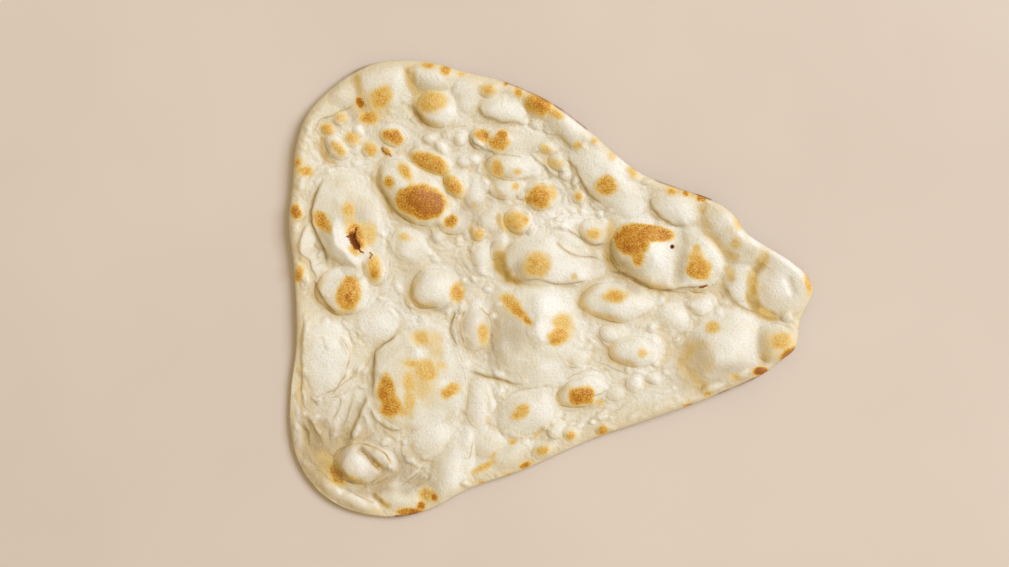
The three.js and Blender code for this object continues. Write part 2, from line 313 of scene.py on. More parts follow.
# Browned spots: middle x and y, length, width, turn, strength.
BROWNED = [
    # rim and upper left
    (-101, 95.8, 12, 8.5, 0, 0.66),
    (-94.5, 106, 18, 12, 55, 0.52),
    (-106, 103.5, 7, 4.5, -60, 1.05),
    (-99, 102, 24, 21, 0, 0.2),
    (-124, 88.5, 9, 8, 0, 0.58),
    (-117, 95, 8, 6.5, 0, 0.42),
    (-118, 77.5, 12, 7, -45, 0.5),
    (-110.5, 83, 9.5, 9.5, 0, 0.5),
    (-101, 77.5, 9, 8, 0, 0.56),
    (-140.5, 70, 6.5, 8.5, 0, 0.58),
    (-137, 65.5, 10.5, 7, 0, 0.58),
    (-88, 84.5, 15, 9, -18, 0.75),
    (-92, 86, 5, 4, 0, 0.85),
    (-91, 76.5, 6.5, 4.5, -30, 0.6),
    (-67, 103.5, 20, 14, 0, 0.46),
    (-68, 124, 8, 5.5, 0, 0.68),
    (-58.3, 121.5, 7.5, 7, 0, 0.66),
    (-50, 119.3, 8, 3.5, 0, 0.4),
    (-67, 70, 25, 11.5, -25, 0.66),
    (-70, 71, 15, 7, -25, 0.7),
    (-53.8, 57.5, 16, 10, -45, 0.56),
    (-53, 56.5, 9, 7, -45, 0.8),
    (-71.5, 48, 30, 20, -8, 0.78),
    (-69.5, 48, 23, 15, -8, 1.0),
    (-77, 57, 9, 7, -50, 0.32),
    (-90.5, 59, 8, 7.5, -45, 0.72),
    (-80.5, 64, 13.5, 7, -58, 0.57),
    (-55.5, 37.3, 9, 8, 0, 0.82),
    # rim and upper middle
    (-34.5, 111, 10, 6.5, 0, 0.5),
    (-18, 109, 8, 6, -50, 0.62),
    (-7.5, 102.3, 15, 13, -30, 0.62),
    (-4.5, 103, 11, 10, -20, 0.8),
    (2.5, 97.5, 11, 6, -30, 0.55),
    (-25, 114, 3.2, 3, 0, 0.85),
    (-6, 101.5, 24, 16, -38, 0.2),
    (-38, 85.5, 10, 8, -30, 0.72),
    (-28.5, 81.5, 13, 11, 0, 0.72),
    (-27.3, 85, 8, 9.5, 0, 0.74),
    (-29.5, 67, 7.5, 12, 0, 0.54),
    (-18.5, 65.3, 6, 4, 0, 0.4),
    (-2.5, 77.5, 9, 5, -25, 0.4),
    (1.5, 70, 13, 7, -10, 0.36),
    (15, 79.5, 6.5, 5, 0, 0.46),
    (24.5, 82, 4.5, 4, 0, 0.45),
    (34, 73.5, 7, 8, 0, 0.36),
    (45, 64.5, 9, 6, -55, 0.42),
    (31, 57.5, 13, 11.5, 0, 0.66),
    (26.8, 57.5, 4, 6, 0, 0.6),
    (15.3, 51, 6, 6, 0, 0.55),
    # left side
    (-142, 43, 7.5, 9, 0, 0.86),
    (-140, 8.5, 6.5, 12, -15, 0.66),
    (-127, 37, 16, 8, 118, 0.66),
    (-112.3, 43.5, 9, 10, 0, 0.5),
    (-103.5, 30, 15, 16, 10, 0.4),
    (-108, 29.5, 9, 16, 20, 0.74),
    (-109, 21.5, 9, 6, -42, 0.55),
    (-111.5, 37, 8, 9, 0, 0.4),
    (-98, 11.5, 9, 15, 0, 0.58),
    (-98, 8.5, 5.5, 6, 0, 0.72),
    (-112.5, -3, 14, 21, -10, 0.68),
    (-112, -5, 7, 9, 0, 0.85),
    (-52, -1.5, 9, 12, -10, 0.62),
    (-81.5, 28.5, 8, 5.5, -30, 0.4),
    (-140, -45, 4, 6, 0, 0.3),
    # The next three rows brown the wedge and groove by the curled blister, darkened as painted shade of
    # their deep creases.
    (-119.6, -103.8, 17, 6.5, -57, 0.8),
    (-121.5, -101.5, 24, 13, -52, 0.34),
    (-96.5, -98.6, 6, 3, -50, 0.4),
    (-111, -105, 7, 4.5, 0, 0.42),
    (-107, -109, 7, 2.5, 0, 0.35),
    # middle
    (-6.5, 51, 15.5, 13.5, 0, 0.7),
    (-8.5, 50.5, 7, 9, 0, 0.8),
    (1, 53, 6, 10, 0, 0.46),
    (-20, 37, 16, 13.5, 0, 0.48),
    (-14, 38, 4, 5, 0, 0.6),
    (-40, 30.5, 7, 7, 0, 0.5),
    (-19.8, 57, 5, 5, 0, 0.46),
    (-8, 13.5, 18, 16, 0, 0.46),
    (-9.5, 14.5, 9, 10, 0, 0.6),
    (13, 6.5, 4, 5, 0, 0.35),
    (24, 30.5, 10, 7, 0, 0.5),
    (-23, -7.5, 14, 10, -40, 0.54),
    (-18, -12.8, 15, 6.5, -42, 0.68),
    (-13.5, -17.5, 9, 4.5, -45, 0.7),
    (-37.4, -25.5, 6.5, 17, 2, 0.48),
    (6.8, -20, 13, 16, -10, 0.46),
    (5, -26, 14, 11, 18, 0.62),
    (3.2, -29, 9, 6, 20, 0.68),
    (35, -4, 13, 9.5, 10, 0.62),
    (42, -3, 5, 5, 0, 0.3),
    (51, -36, 7, 6.5, 0, 0.38),
    (17, -59.5, 15, 12.5, 0, 0.78),
    (15.5, -61, 8, 7, 0, 0.9),
    (27.5, -63.5, 7, 5, 0, 0.42),
    # tip
    (44.5, 26.5, 19, 19, 0, 0.82),
    (43, 24.5, 9, 10, 0, 0.92),
    (53, 31, 33, 10.5, -4, 0.76),
    (62, 30, 10, 7, 0, 0.82),
    (47.5, 17.5, 8, 13, 10, 0.68),
    (82, 11, 15, 14, 0, 0.7),
    (80.5, 16, 11, 12, 0, 0.54),
    (81, 21.5, 5, 7, 0, 0.5),
    (67, 54, 8, 5, 0, 0.64),
    (75, 53, 5.5, 4.5, 0, 0.85),
    (84, 50.5, 6, 4.5, 0, 0.95),
    (105, 37, 9, 11, -30, 0.42),
    (102.3, 25.3, 9, 8, 0, 0.34),
    (112.6, 1, 7, 20, 0, 0.48),
    (120.5, -13.5, 11, 4, -32, 0.4),
    (118.5, 17, 7, 7, 0, 0.36),
    (100, 9, 6, 6, 0, 0.3),
    (143, 2.5, 5.5, 16, 8, 0.52),
    (128, -29, 15, 12, 10, 0.44),
    (125.3, -30.5, 5, 6, 0, 0.5),
    (132, -36.5, 12, 6, 35, 0.95),
    (117, -46, 10, 5, 0, 1.2),
    (90, -21.8, 9, 8, 35, 0.5),
    (102, -49, 8, 4, 0, 0.42),
    (127, -31, 22, 20, 0, 0.22),
    (100, 32, 12, 8, -50, 0.15),
    (87.5, -58.5, 6, 4, 0, 0.6),
    (77, -64.8, 8, 3, 5, 0.65),
    # wide end, lower half
    (-72, -28, 12, 10, 0, 0.45),
    (-66.5, -28.5, 13, 12, 0, 0.28),
    (-64, -34.5, 9, 15, 8, 0.25),
    (-76.5, -42, 12, 6.5, -8, 0.48),
    (-69.5, -46, 17, 14, -15, 0.45),
    (-61.5, -43, 12, 8, 0, 0.34),
    (-71, -54.5, 17, 16, 0, 0.3),
    (-79.2, -52, 9, 16, 0, 0.44),
    (-79, -63, 8, 18, 4, 0.42),
    (-82.5, -69, 11, 7, 20, 0.4),
    (-75, -53, 32, 34, 0, 0.14),
    (-91.5, -58, 11, 22, 4, 0.68),
    (-89, -66, 14, 15, -20, 0.7),
    (-93, -60, 6, 10, 0, 0.84),
    (-91.5, -67.5, 7, 7, 0, 0.84),
    (-56.2, -57, 12, 8.5, 25, 0.62),
    (-16.8, -68.7, 12, 7.5, 38, 0.54),
    (11, -82, 6.5, 6, 0, 0.55),
    (-4, -90, 9, 5, 10, 0.58),
    (29, -79, 7.5, 5, 40, 0.7),
    (-37.5, -99.3, 15, 4.5, 25, 0.5),
    (-32, -92.5, 7, 3, 42, 0.4),
    (-21, -85.5, 7.5, 4.5, 10, 0.5),
    (-14, -98.3, 8, 3.6, 30, 0.78),
    (-24, -104, 6, 2.5, 15, 0.5),
    (-39, -108, 6, 2.5, 10, 0.45),
    (-7.5, -81, 8, 3, 50, 0.32),
    (-69, -115.5, 12, 9, 0, 0.5),
    (-65, -116.5, 4.5, 5, 0, 0.9),
    (-72, -121, 6, 5, 0, 0.95),
    (-79, -124.5, 16, 4.5, 3, 0.85),
]
# Floured, whitest places, and painted highlights on faces towards the light: middle x and y, length, width,
# turn, strength.
FLOURED_AND_LIT = [
    (128, 7, 28, 35, 0, 0.95),
    (48, 43, 40, 16, -12, 0.95),
    (2, 10, 26, 18, 0, 0.9),
    (-2, 39, 26, 16, 0, 0.95),
    (-76, -18, 18, 10, 0, 0.6),
    (26, 70, 24, 16, -45, 0.8),
    (50, -48, 18, 14, 0, 0.7),
    (0, -48, 20, 16, 0, 0.6),
    (24, -22, 18, 16, 0, 0.6),
    (12, 90, 26, 12, -40, 0.8),
    (-12, 96, 18, 12, -20, 0.8),
    (24, 44, 16, 12, 0, 0.7),
    (60, 36, 18, 9, -10, 0.7),
    (72, -44, 18, 14, 0, 0.25),
    (105, -30, 26, 26, 0, 0.42),
    (12, 38, 24, 18, -20, 0.95),
    (12, 9, 24, 14, 0, 0.95),
    (70, 43, 26, 18, -12, 0.8),
    (38, 66, 26, 18, -45, 0.9),
    (62, 15.5, 14, 20, 10, 1.0),
    (91, 17, 7, 20, 25, 0.8),
    (113, 28, 9, 14, 30, 0.8),
    (50, -9, 22, 9, -8, 0.8),
    (72, -16, 14, 9, -10, 0.7),
    (86, -9, 14, 11, 0, 0.6),
    (54, -31, 14, 8, 0, 0.6),
    (25, -51, 18, 7, -10, 0.7),
    (45, -53, 8, 8, 0, 0.6),
    (0, -8, 26, 20, 0, 1.0),
    (-4, -22, 8, 18, 0, 0.9),
    (18, 10, 11, 8, 0, 0.7),
    (2, 22, 32, 9, -60, 0.7),
    (-12, 67, 24, 9, -15, 0.8),
    (-21, 100, 20, 9, -12, 0.8),
    (42, 55, 18, 7, -50, 0.6),
    (-50, 112, 13, 9, 0, 0.7),
    (-85, 113, 7, 22, -10, 0.7),
    (-55, 97, 12, 14, 0, 0.7),
    (-43, 55, 7, 16, -10, 0.6),
    (-110, 70, 22, 16, 0, 0.45),
    (-116, 30, 5, 22, 15, 0.8),
    (-111, 18.5, 22, 6, -46, 0.9),
    (-120, 8, 14, 8, 0, 0.7),
    (-97, -20, 20, 18, 0, 0.85),
    (-59, 2, 14, 14, 0, 0.6),
    (-124, -40, 24, 44, 4, 0.75),
    (-56, -38, 7, 26, 5, 0.7),
    (-72.7, -36, 9, 6, 0, 0.9),
    (-59.5, -52.4, 9, 5, 20, 0.9),
    (-83.4, -57.5, 4, 16, 6, 0.8),
    (-119.5, -70, 10, 26, -12, 0.6),
    (-141, -78, 5, 32, 5, 0.5),
    (97, 36, 14, 10, -50, 0.9),
    (102, 29, 18, 13, -50, 0.9),
    (-40, -65, 9, 28, 5, 0.7),
    (-48, -80, 22, 18, 0, 0.75),
    (-70, -82, 22, 20, 0, 0.65),
    (-54, -99, 13, 34, -15, 0.7),
    (-5, -67, 16, 16, 0, 0.75),
    (-107, -98.5, 22, 13, -45, 0.85),
    (-112, -116.5, 28, 6, -28, 0.9),
]
# Tanned, dry places, and painted shade on slopes away from the light and in the drooping lower left corner:
# middle x and y, length, width, turn, strength.
TANNED_AND_SHADED = [
    (-118, -92, 60, 52, -30, 0.74),
    (34, 17, 10, 28, 8, 0.5),
    (70, 14, 9, 26, 0, 0.4),
    (-17, 8, 12, 18, 0, 0.48),
    (-20, -22, 20, 26, 0, 0.4),
    (-46, 40, 16, 22, 0, 0.6),
    (-48, 8, 18, 30, 0, 0.26),
    (-47, -22, 14, 26, 0, 0.32),
    (100, -47.5, 34, 16, 12, 0.5),
    (-107, 38, 18, 26, 10, 0.46),
    (-104, 99, 24, 18, 0, 0.62),
    (-138, -84, 18, 40, 8, 0.95),
    (-127, -94, 20, 18, -30, 1.0),
    (-123, -78, 9, 26, 5, 0.75),
    (-132, -106, 32, 12, -48, 0.85),
    (-113, -121, 24, 7, -22, 0.5),
    (-136, -66, 12, 18, 0, 0.5),
    (-118, -99, 5, 20, 10, 0.5),
    (-93, -106, 22, 11, 28, 0.9),
    (-82, -100, 15, 22, 0, 0.65),
    (-77, -109, 18, 12, 40, 0.7),
    (-133.4, -80.5, 9, 17, 15, 1.0),
    (-110, -72, 6, 26, -22, 0.35),
    (-32, -26, 14, 46, 2, 0.5),
    (81, -40, 18, 28, 0, 0.5),
    (118, -32, 11, 18, 0, 0.6),
    (120, 0, 10, 22, 0, 0.25),
    (100, -42, 24, 8, 10, 0.2),
    (75, -48, 26, 20, 0, 0.5),
    (27, 11, 14, 14, 0, 0.3),
    (43, 8, 26, 15, -38, 0.95),
    (-77, 9, 20, 12, -30, 0.35),
    (-100, -112, 26, 9, 10, 0.8),
    (-127, -80, 22, 22, 0, 0.7),
    (-111, -105, 7, 4.5, 0, 0.85),
    (102, -49, 9, 5, 0, 0.6),
    (27.5, -63.5, 8, 6, 0, 0.45),
]
# Bare dough, yellow where no flour lies, and painted shade in grooves and on the shaded sides of blisters:
# half width of the band, strength, points.
BARE_AND_SHADED_BANDS = [
    (
        5.5,
        1.1,
        [(119, 18), (115.5, 12), (112.8, 6), (112, 0), (112.8, -6), (115.5, -11), (121, -15), (128, -17)],
    ),
    (6, 0.7, [(83, 49), (84.5, 40), (88.5, 32), (94, 24), (100, 18), (106, 15)]),
    (6, 1.2, [(-28, 22), (-28, 14), (-26, 9), (-22, 5.5), (-14, 4)]),
    (6, 0.7, [(-78, 126), (-78, 116), (-75, 109), (-74, 107)]),
    (4.5, 0.85, [(-77, 102), (-74.5, 97), (-71, 92)]),
    (5, 0.7, [(-109, 120), (-107, 113), (-105.5, 107)]),
    (9, 0.65, [(80, -26), (77, -36), (75.5, -43), (79, -48), (83, -53), (87, -57)]),
    (12, 0.4, [(85, -28), (85, -40), (89, -49)]),
    (5, 1.15, [(-124.5, -98.5), (-120.6, -102.5), (-118, -106), (-114.5, -110.5)]),
    (10, 0.36, [(-133, -93), (-127, -96.5), (-121, -99)]),
    (6, 0.3, [(-137.5, -66), (-135.5, -69.5), (-133.5, -72)]),
    (6, 0.34, [(-136.5, -75.5), (-133.6, -81), (-131, -87.5)]),
    (20, 0.2, [(-134, -70), (-126, -92), (-110, -107), (-88, -113)]),
    (7, 0.24, [(-139, -72), (-136, -84), (-129, -97), (-120, -108), (-106, -117)]),
    (5, 0.3, [(-135, -94), (-126, -108), (-113, -118), (-100, -124), (-85, -125)]),
    (3.2, 0.55, [(-107, -90.5), (-101, -94), (-97.5, -98), (-94, -102)]),
    (3.4, 1.2, [(-100, -95), (-96.8, -98.2), (-93.8, -100.8)]),
    (3, 0.5, [(97, 1), (100, -5), (104, -9), (110, -12.5), (117, -14)]),
    (12, 0.26, [(122, 15), (119, 5), (120, -6), (124, -13)]),
    (8, 0.36, [(37, 20), (40, 12), (47, 6), (57, 2)]),
    (5, 0.6, [(98.5, 13), (100, 8.5), (101.5, 4)]),
    (6, 0.65, [(-97, 64), (-95, 58), (-92, 51), (-88, 44.5), (-83, 40)]),
    (3, 0.75, [(-29, 43), (-28.5, 37), (-25.5, 33), (-20, 31), (-14, 31)]),
    (3, 0.6, [(-44, 37), (-44, 32), (-42, 28), (-38, 26.5)]),
    (6, 1.0, [(34.5, 39), (33.8, 31), (32.6, 25), (32.6, 18), (35, 12), (40, 9)]),
    (3, 0.7, [(-128, 85), (-128, 79), (-125, 73), (-119, 69.5)]),
    (3, 0.6, [(-131, 52), (-133, 45), (-134.5, 40), (-133, 35), (-131, 30)]),
    (3, 0.45, [(-139, 28), (-141, 23), (-138, 17), (-134.5, 13), (-132, 5), (-129, -3), (-126, -8)]),
    (3, 0.6, [(-38, 68), (-36, 64), (-32, 60.5)]),
    (4, 0.45, [(-30, 60), (-31, 56), (-28, 52), (-25, 49)]),
    (3, 0.5, [(-45, -46.5), (-38, -49), (-30, -51), (-21, -53)]),
    (3, 0.65, [(18, -8), (20.5, -12.5), (25, -15.5), (31, -18)]),
    (4, 0.65, [(32, -32), (33, -37), (36.5, -41), (42, -43)]),
    (4, 0.45, [(6, -53), (5, -58), (7, -64)]),
    (2.5, 0.7, [(-114.5, -103), (-111.5, -105.5), (-108, -109), (-105, -109.4)]),
    (4, 0.35, [(-119, -93), (-118.5, -99), (-116, -104), (-112, -109)]),
    (3.4, 0.95, [(-99, -113.5), (-97.5, -117), (-94, -120), (-88, -122)]),
    (5, 0.5, [(62, 57), (75, 53.5), (86, 50)]),
    (3, 0.4, [(-10, -83), (-6, -80), (-2, -77), (4, -74)]),
    (3, 0.4, [(-35, -70), (-34, -76), (-30, -78)]),
    (4, 0.35, [(-139, -20), (-139.5, -32)]),
    (3, 0.5, [(-139.5, -50), (-140, -60), (-139, -68)]),
    (5, 0.5, [(44, 7), (50, 3.5), (57, -1.5), (66, -2)]),
    (4, 0.4, [(93, 2), (97, 1), (98, -4)]),
    (3, 0.45, [(56, 49), (57, 44), (61, 39.5), (67, 36)]),
    (3, 0.4, [(-43, 48), (-43, 43)]),
    (3, 0.4, [(0, 85), (6, 83), (11, 79)]),
    (3, 0.35, [(-77, -84), (-77, -92)]),
]
# Painted shade in deep creases, dark from soft edge to soft edge: half width of the band, strength, points.
SHADED_CREASES = [
    (4, 0.34, [(-124, -98.8), (-120.6, -102.5), (-118, -106), (-114.5, -110.5)]),
    (9, 0.3, [(-130, -96), (-126, -98), (-122, -100.5), (-119, -103.5)]),
    (3, 0.6, [(-135, -72.5), (-133.4, -76.5), (-131.3, -82), (-128.6, -87.5)]),
    (2.4, 0.5, [(-137.2, -75.5), (-136, -79), (-135.2, -84)]),
    (4, 0.35, [(-134.5, -79), (-132.5, -84), (-130, -90)]),
    (2.4, 0.7, [(-101, -94.6), (-97.2, -98), (-94.4, -100.6)]),
    (2.4, 0.7, [(-99.2, -114), (-97.8, -117.2), (-94.6, -119.8)]),
    (2, 0.45, [(-103, -60), (-107, -70), (-111, -80), (-113, -86.5)]),
    (
        1.8,
        0.5,
        [(-126, 62), (-130.5, 53), (-133, 45), (-133.5, 40), (-130, 29), (-125.5, 20), (-124, 13)],
    ),
    (2.4, 0.4, [(-95, 66), (-94.5, 58), (-92, 50), (-88, 43), (-83, 38.5)]),
    (2.6, 0.45, [(-76.5, 104), (-75.5, 98), (-72.5, 92)]),
    (4, 0.32, [(-27, 14), (-25, 9), (-20, 5.5), (-13, 4)]),
    (2.4, 0.45, [(33.5, 30), (33.5, 22), (35.5, 14), (40, 9), (47, 5), (56, 0)]),
    (5.5, 0.42, [(32.8, 27), (33, 21), (34.5, 15), (38, 10)]),
    (2, 0.35, [(-46, -46), (-38, -48.5), (-30, -50), (-22, -52.5)]),
    (2, 0.4, [(-98.4, -36), (-98.8, -44), (-99.4, -54)]),
    (1.8, 0.4, [(-77.5, 2), (-76, -5), (-71, -10), (-63, -11.5), (-55, -8.5)]),
    (4, 0.38, [(117.5, 14.5), (113.5, 8), (112.2, 0), (113.2, -7), (117.5, -12)]),
    (3.5, 0.5, [(-116.5, -99), (-114, -104.5), (-109, -108.3), (-104, -109.3)]),
    (1.6, 0.35, [(-54.6, -17), (-55.3, -24.5), (-51, -33)]),
]
# Burnt stretches of the rim: how far they reach inwards at most, strength, points.
SCORCHED = [
    (5, 0.8, [(-26, 115.3), (-18, 112), (-9, 108), (0, 103.5)]),
    (5, 1.1, [(0, 103.5), (8, 98.5), (15, 92.5), (21, 88.5)]),
    (5, 0.8, [(57, 62), (64, 59), (71, 56.3), (77, 54)]),
    (5, 1.1, [(81, 52.5), (85, 51), (90, 49)]),
    (5, 1.0, [(135.5, 17.5), (139, 13.5)]),
    (5, 1.2, [(103, -53), (109, -50.5), (114, -48.5)]),
    (5, 1.1, [(93, -59), (96, -58), (100, -56.5)]),
    (5, 1.2, [(-88, -127), (-80, -126.3), (-73, -125.6)]),
    (5, 0.8, [(-113, 117), (-106, 121.5), (-100, 125)]),
]


def smooth_ramp(low, high, value):
    """Rises smoothly from 0 at low to 1 at high."""
    share = np.clip((value - low) / (high - low), 0.0, 1.0)
    return share * share * (3.0 - 2.0 * share)


def spline(before, first, second, after, t):
    """Runs smoothly from first to second as t goes from 0 to 1."""
    bend = (
        2 * first
        + (second - before) * t
        + (2 * before - 5 * first + 4 * second - after) * t**2
        + (3 * first - before - 3 * second + after) * t**3
    )
    return bend / 2


class LatticeNoise:
    """Smooth seeded noise over the plane, from -1 to 1. With x shifted, it serves a second use."""

    CELLS = 64

    def __init__(self, seed):
        self.values = np.random.default_rng(seed).uniform(-1.0, 1.0, (self.CELLS, self.CELLS))

    def at(self, x, y, size):
        column = np.floor(x / size).astype(int)
        row = np.floor(y / size).astype(int)
        across = smooth_ramp(0.0, 1.0, x / size - column)
        up = smooth_ramp(0.0, 1.0, y / size - row)
        low = self.corner(row, column) * (1 - across) + self.corner(row, column + 1) * across
        high = self.corner(row + 1, column) * (1 - across) + self.corner(row + 1, column + 1) * across
        return low * (1 - up) + high * up

    def corner(self, row, column):
        return self.values[row % self.CELLS, column % self.CELLS]


class Oval(NamedTuple):
    """An ellipse over the plan, from one row of a table. Its amount is a rise or a strength."""

    x: float
    y: float
    length: float
    width: float
    turn: float
    amount: float
    crispness: float = 0.0

    @property
    def radius(self):
        return 0.25 * (self.length + self.width)

    def distance(self, x, y):
        """Distance from the middle, 1 on the outline."""
        turn = math.radians(self.turn)
        along = (x - self.x) * math.cos(turn) + (y - self.y) * math.sin(turn)
        aside = (y - self.y) * math.cos(turn) - (x - self.x) * math.sin(turn)
        return np.hypot(2 * along / self.length, 2 * aside / self.width)

    def facing(self, x, y):
        """1 on the steep side, -1 on the far side."""
        turn = math.radians(STEEP_SIDE)
        across = (x - self.x) * math.cos(turn) + (y - self.y) * math.sin(turn)
        return across / np.maximum(np.hypot(x - self.x, y - self.y), TINY)


def ovals(rows):
    return [Oval(*row) for row in rows]


def strewn(draw, count, lengths, slimness, power=1):
    """Rows of ovals all over the plan, up to their turn. A power over 1 makes more short ones."""
    middle = draw.uniform(-STREWN_REACH, STREWN_REACH, (count, 2))
    length = draw.uniform(*lengths, count) ** power
    width = length * draw.uniform(*slimness, count)
    turn = draw.uniform(0, 180, count)
    return np.column_stack((middle, length, width, turn))


class Trace:
    """A smooth line over the plan."""

    CUTS = 4

    def __init__(self, points):
        given = np.array(points, dtype=float)
        ends = np.vstack((2 * given[0] - given[1], given, 2 * given[-1] - given[-2]))
        stretches = zip(ends, ends[1:], ends[2:], ends[3:])
        steps = np.arange(self.CUTS) / self.CUTS
        self.points = [spline(*four, t) for four in stretches for t in steps]
        self.points.append(given[-1])

    def beside(self, x, y, reach):
        """Where the points of the plan near the line lie.

        Gives their numbers, their distance from the line, positive on its left,
        and the share of its length up to their foot on it.
        """
        low = np.min(self.points, axis=0) - reach
        high = np.max(self.points, axis=0) + reach
        near = np.flatnonzero((x > low[0]) & (x < high[0]) & (y > low[1]) & (y < high[1]))
        best = np.full(near.shape, np.inf)
        side, share = np.zeros((2, len(near)))
        count = len(self.points) - 1
        for number, (start, end) in enumerate(zip(self.points, self.points[1:])):
            step = end - start
            off_x = x[near] - start[0]
            off_y = y[near] - start[1]
            along = np.clip((off_x * step[0] + off_y * step[1]) / (step @ step), 0.0, 1.0)
            away = np.hypot(off_x - along * step[0], off_y - along * step[1])
            closer = away < best
            best = np.where(closer, away, best)
            side = np.where(closer, np.where(step[0] * off_y > step[1] * off_x, 1.0, -1.0), side)
            share = np.where(closer, (number + along) / count, share)
        return near, best * side, share


def traced(rows):
    """Rows of a table, with the points at their end made a line."""
    return [(*row[:-1], Trace(row[-1])) for row in rows]


def taper(share, ends=0.15):
    """Fades a line in and out over these shares of its length."""
    return smooth_ramp(0.0, ends, share) * smooth_ramp(1.0, 1.0 - ends, share)


class LineMap:
    """The thin line that shows most at each point of the plan.

    Keeps its signed distance and how plainly it shows.
    """

    # Distances are kept up to this far.
    FAR = 3.0
    # Lines are gone at the first distance and whole within the second.
    FADE = (2.0, 1.4)

    def __init__(self, count):
        self.gap = np.full(count, self.FAR)
        self.plain = np.zeros(count)

    def add(self, where, aside, weight):
        aside = np.clip(aside, -self.FAR, self.FAR)
        better = weight * np.exp(-np.abs(aside)) > self.plain[where] * np.exp(-np.abs(self.gap[where]))
        self.gap[where] = np.where(better, aside, self.gap[where])
        self.plain[where] = np.where(better, weight, self.plain[where])

    def shown(self):
        return self.plain * smooth_ramp(*self.FADE, np.abs(self.gap))


class Plan(NamedTuple):
    """Points of one face of the bread.

    Their place, their share of the way from the hub to the rim, their angle round the hub,
    and their distance from the rim.
    """

    x: np.ndarray
    y: np.ndarray
    share: np.ndarray
    angle: np.ndarray
    from_rim: np.ndarray


class DoughField:
    """Heights, stains, painted shade and painted highlights of the bread over its plan, in millimetres."""

    # How far neighbouring domes stay apart where they meet: larger is sharper.
    CREASE_SHARPNESS = 5.0
    # Profile of a blister's steep side, and of its soft side, which reaches out past its foot.
    STEEP_POWER = 0.9
    SOFT_POWER = 1.6
    SOFT_REACH = 1.25
    # How far ochre and painted shade reach outside and inside the foot of a blister.
    FOOT_SHADE_OUTSIDE = 8.0
    FOOT_SHADE_INSIDE = 7.0
    # No foot of a blister counts as further away than this.
    FAR_FOOT = 40.0
    # Half the distance between two heights that tell the shaded sides of blisters from the lit ones.
    SHADE_STEP = 4.0
    # How many details are strewn over each face.
    BUBBLES = 520
    WRINKLES = 420
    UNDER_SPOTS = 150
    # Strewn wrinkles: their points, the steps between these and how far they swerve,
    # the heights of their lips, and how far a lip runs out.
    WRINKLE_POINTS = 5
    WRINKLE_STEPS = (1.6, 4.2)
    WRINKLE_SWERVE = 0.4
    WRINKLE_LIPS = (0.12, 0.42)
    WRINKLE_REACH = 2.2
    # Half the distance between ripples round the blisters, and their height.
    RIPPLE = 2.3
    RIPPLE_HEIGHT = 0.4
    # Depth of the creases drawn out along the feet of the blisters.
    DRAWN_DEPTH = 0.36
    # Heights of the coarse and fine grain of the slack dough, and of the blisters' uneven skin.
    COARSE_GRAIN = 0.12
    FINE_GRAIN = 0.06
    UNEVEN_SKIN = 0.3
    # Heights of the sheet's wide and narrow swells, and of the underside's wide and narrow dimples.
    WIDE_SWELL = 1.1
    NARROW_SWELL = 0.6
    WIDE_DIMPLE = 1.2
    NARROW_DIMPLE = 0.5
    # How far the sheet droops towards its lower left corner, and where the droop starts and ends.
    DROOP = 3.0
    DROOP_REACH = (75.0, 145.0)
    # The underside lies flat up to this share of the way to the rim.
    # It lifts this far at the rim, with waves: turns, height, start.
    FLAT_SHARE = 0.62
    LIFT = 2.2
    LIFT_WAVES = ((2, 0.9, 0.6), (3, 0.6, 2.1), (7, 0.35, 0.3))
    # The corner that stays down on the table, from +X, and how much of its lift it loses.
    LOW_CORNER = 224.0
    HELD_DOWN = 0.85
    # The dough is nowhere thinner than this.
    THINNEST = 2.0

    def __init__(self, settings):
        self.settings = settings
        self.lumps = LatticeNoise(11)
        self.sway = LatticeNoise(23)
        self.drift = LatticeNoise(37)
        self.wrinkle = LatticeNoise(41)
        self.edge = LatticeNoise(53)
        self.blisters = [Oval(*row, crispness) for rows, crispness in BLISTER_KINDS for row in rows]
        self.bubbles = ovals(self.strewn_bubbles(seed=7))
        self.folds = traced(FOLDS) + self.strewn_wrinkles(seed=19)
        self.ridges = traced(RIDGES)
        self.slits = traced(SLITS)
        self.cracks = traced(CRACKS)

    def strewn_bubbles(self, seed):
        """Small bubbles of the slack dough, as rows of ovals."""
        draw = np.random.default_rng(seed)
        plan = strewn(draw, self.BUBBLES, lengths=(3.0, 9.0), slimness=(0.5, 0.95))
        width = plan[:, 3]
        return np.column_stack((plan, width * draw.uniform(0.08, 0.24, self.BUBBLES)))

    def strewn_wrinkles(self, seed):
        """Short fine folds that run round the blisters: height of the lip, how far it runs out, line."""
        draw = np.random.default_rng(seed)
        count = self.WRINKLES
        x = draw.uniform(-STREWN_REACH[0], STREWN_REACH[0], count)
        y = draw.uniform(-STREWN_REACH[1], STREWN_REACH[1], count)
        lip = draw.uniform(*self.WRINKLE_LIPS, count)
        step = draw.uniform(*self.WRINKLE_STEPS, count) * draw.choice((-1.0, 1.0), count)
        way = []
        clear = np.full(count, True)
        for _ in range(self.WRINKLE_POINTS):
            way.append(np.column_stack((x, y)))
            away = self.blister_rise(x, y)[1]
            clear &= away > 0.0
            across, up, steep = self.slope(x, y, away, step=0.5)
            x = x - step * up / steep + draw.normal(0.0, self.WRINKLE_SWERVE, count)
            y = y + step * across / steep + draw.normal(0.0, self.WRINKLE_SWERVE, count)
        lines = np.stack(way, axis=1)
        return [(high, self.WRINKLE_REACH, Trace(line)) for high, line in zip(lip[clear], lines[clear])]

    def strewn_under_spots(self, seed):
        """Browned spots of the underside, like those of the upper face, as rows of ovals."""
        draw = np.random.default_rng(seed)
        plan = strewn(draw, self.UNDER_SPOTS, lengths=(1.8, 4.2), slimness=(0.55, 1.0), power=2)
        return np.column_stack((plan, draw.uniform(0.35, 0.95, self.UNDER_SPOTS)))

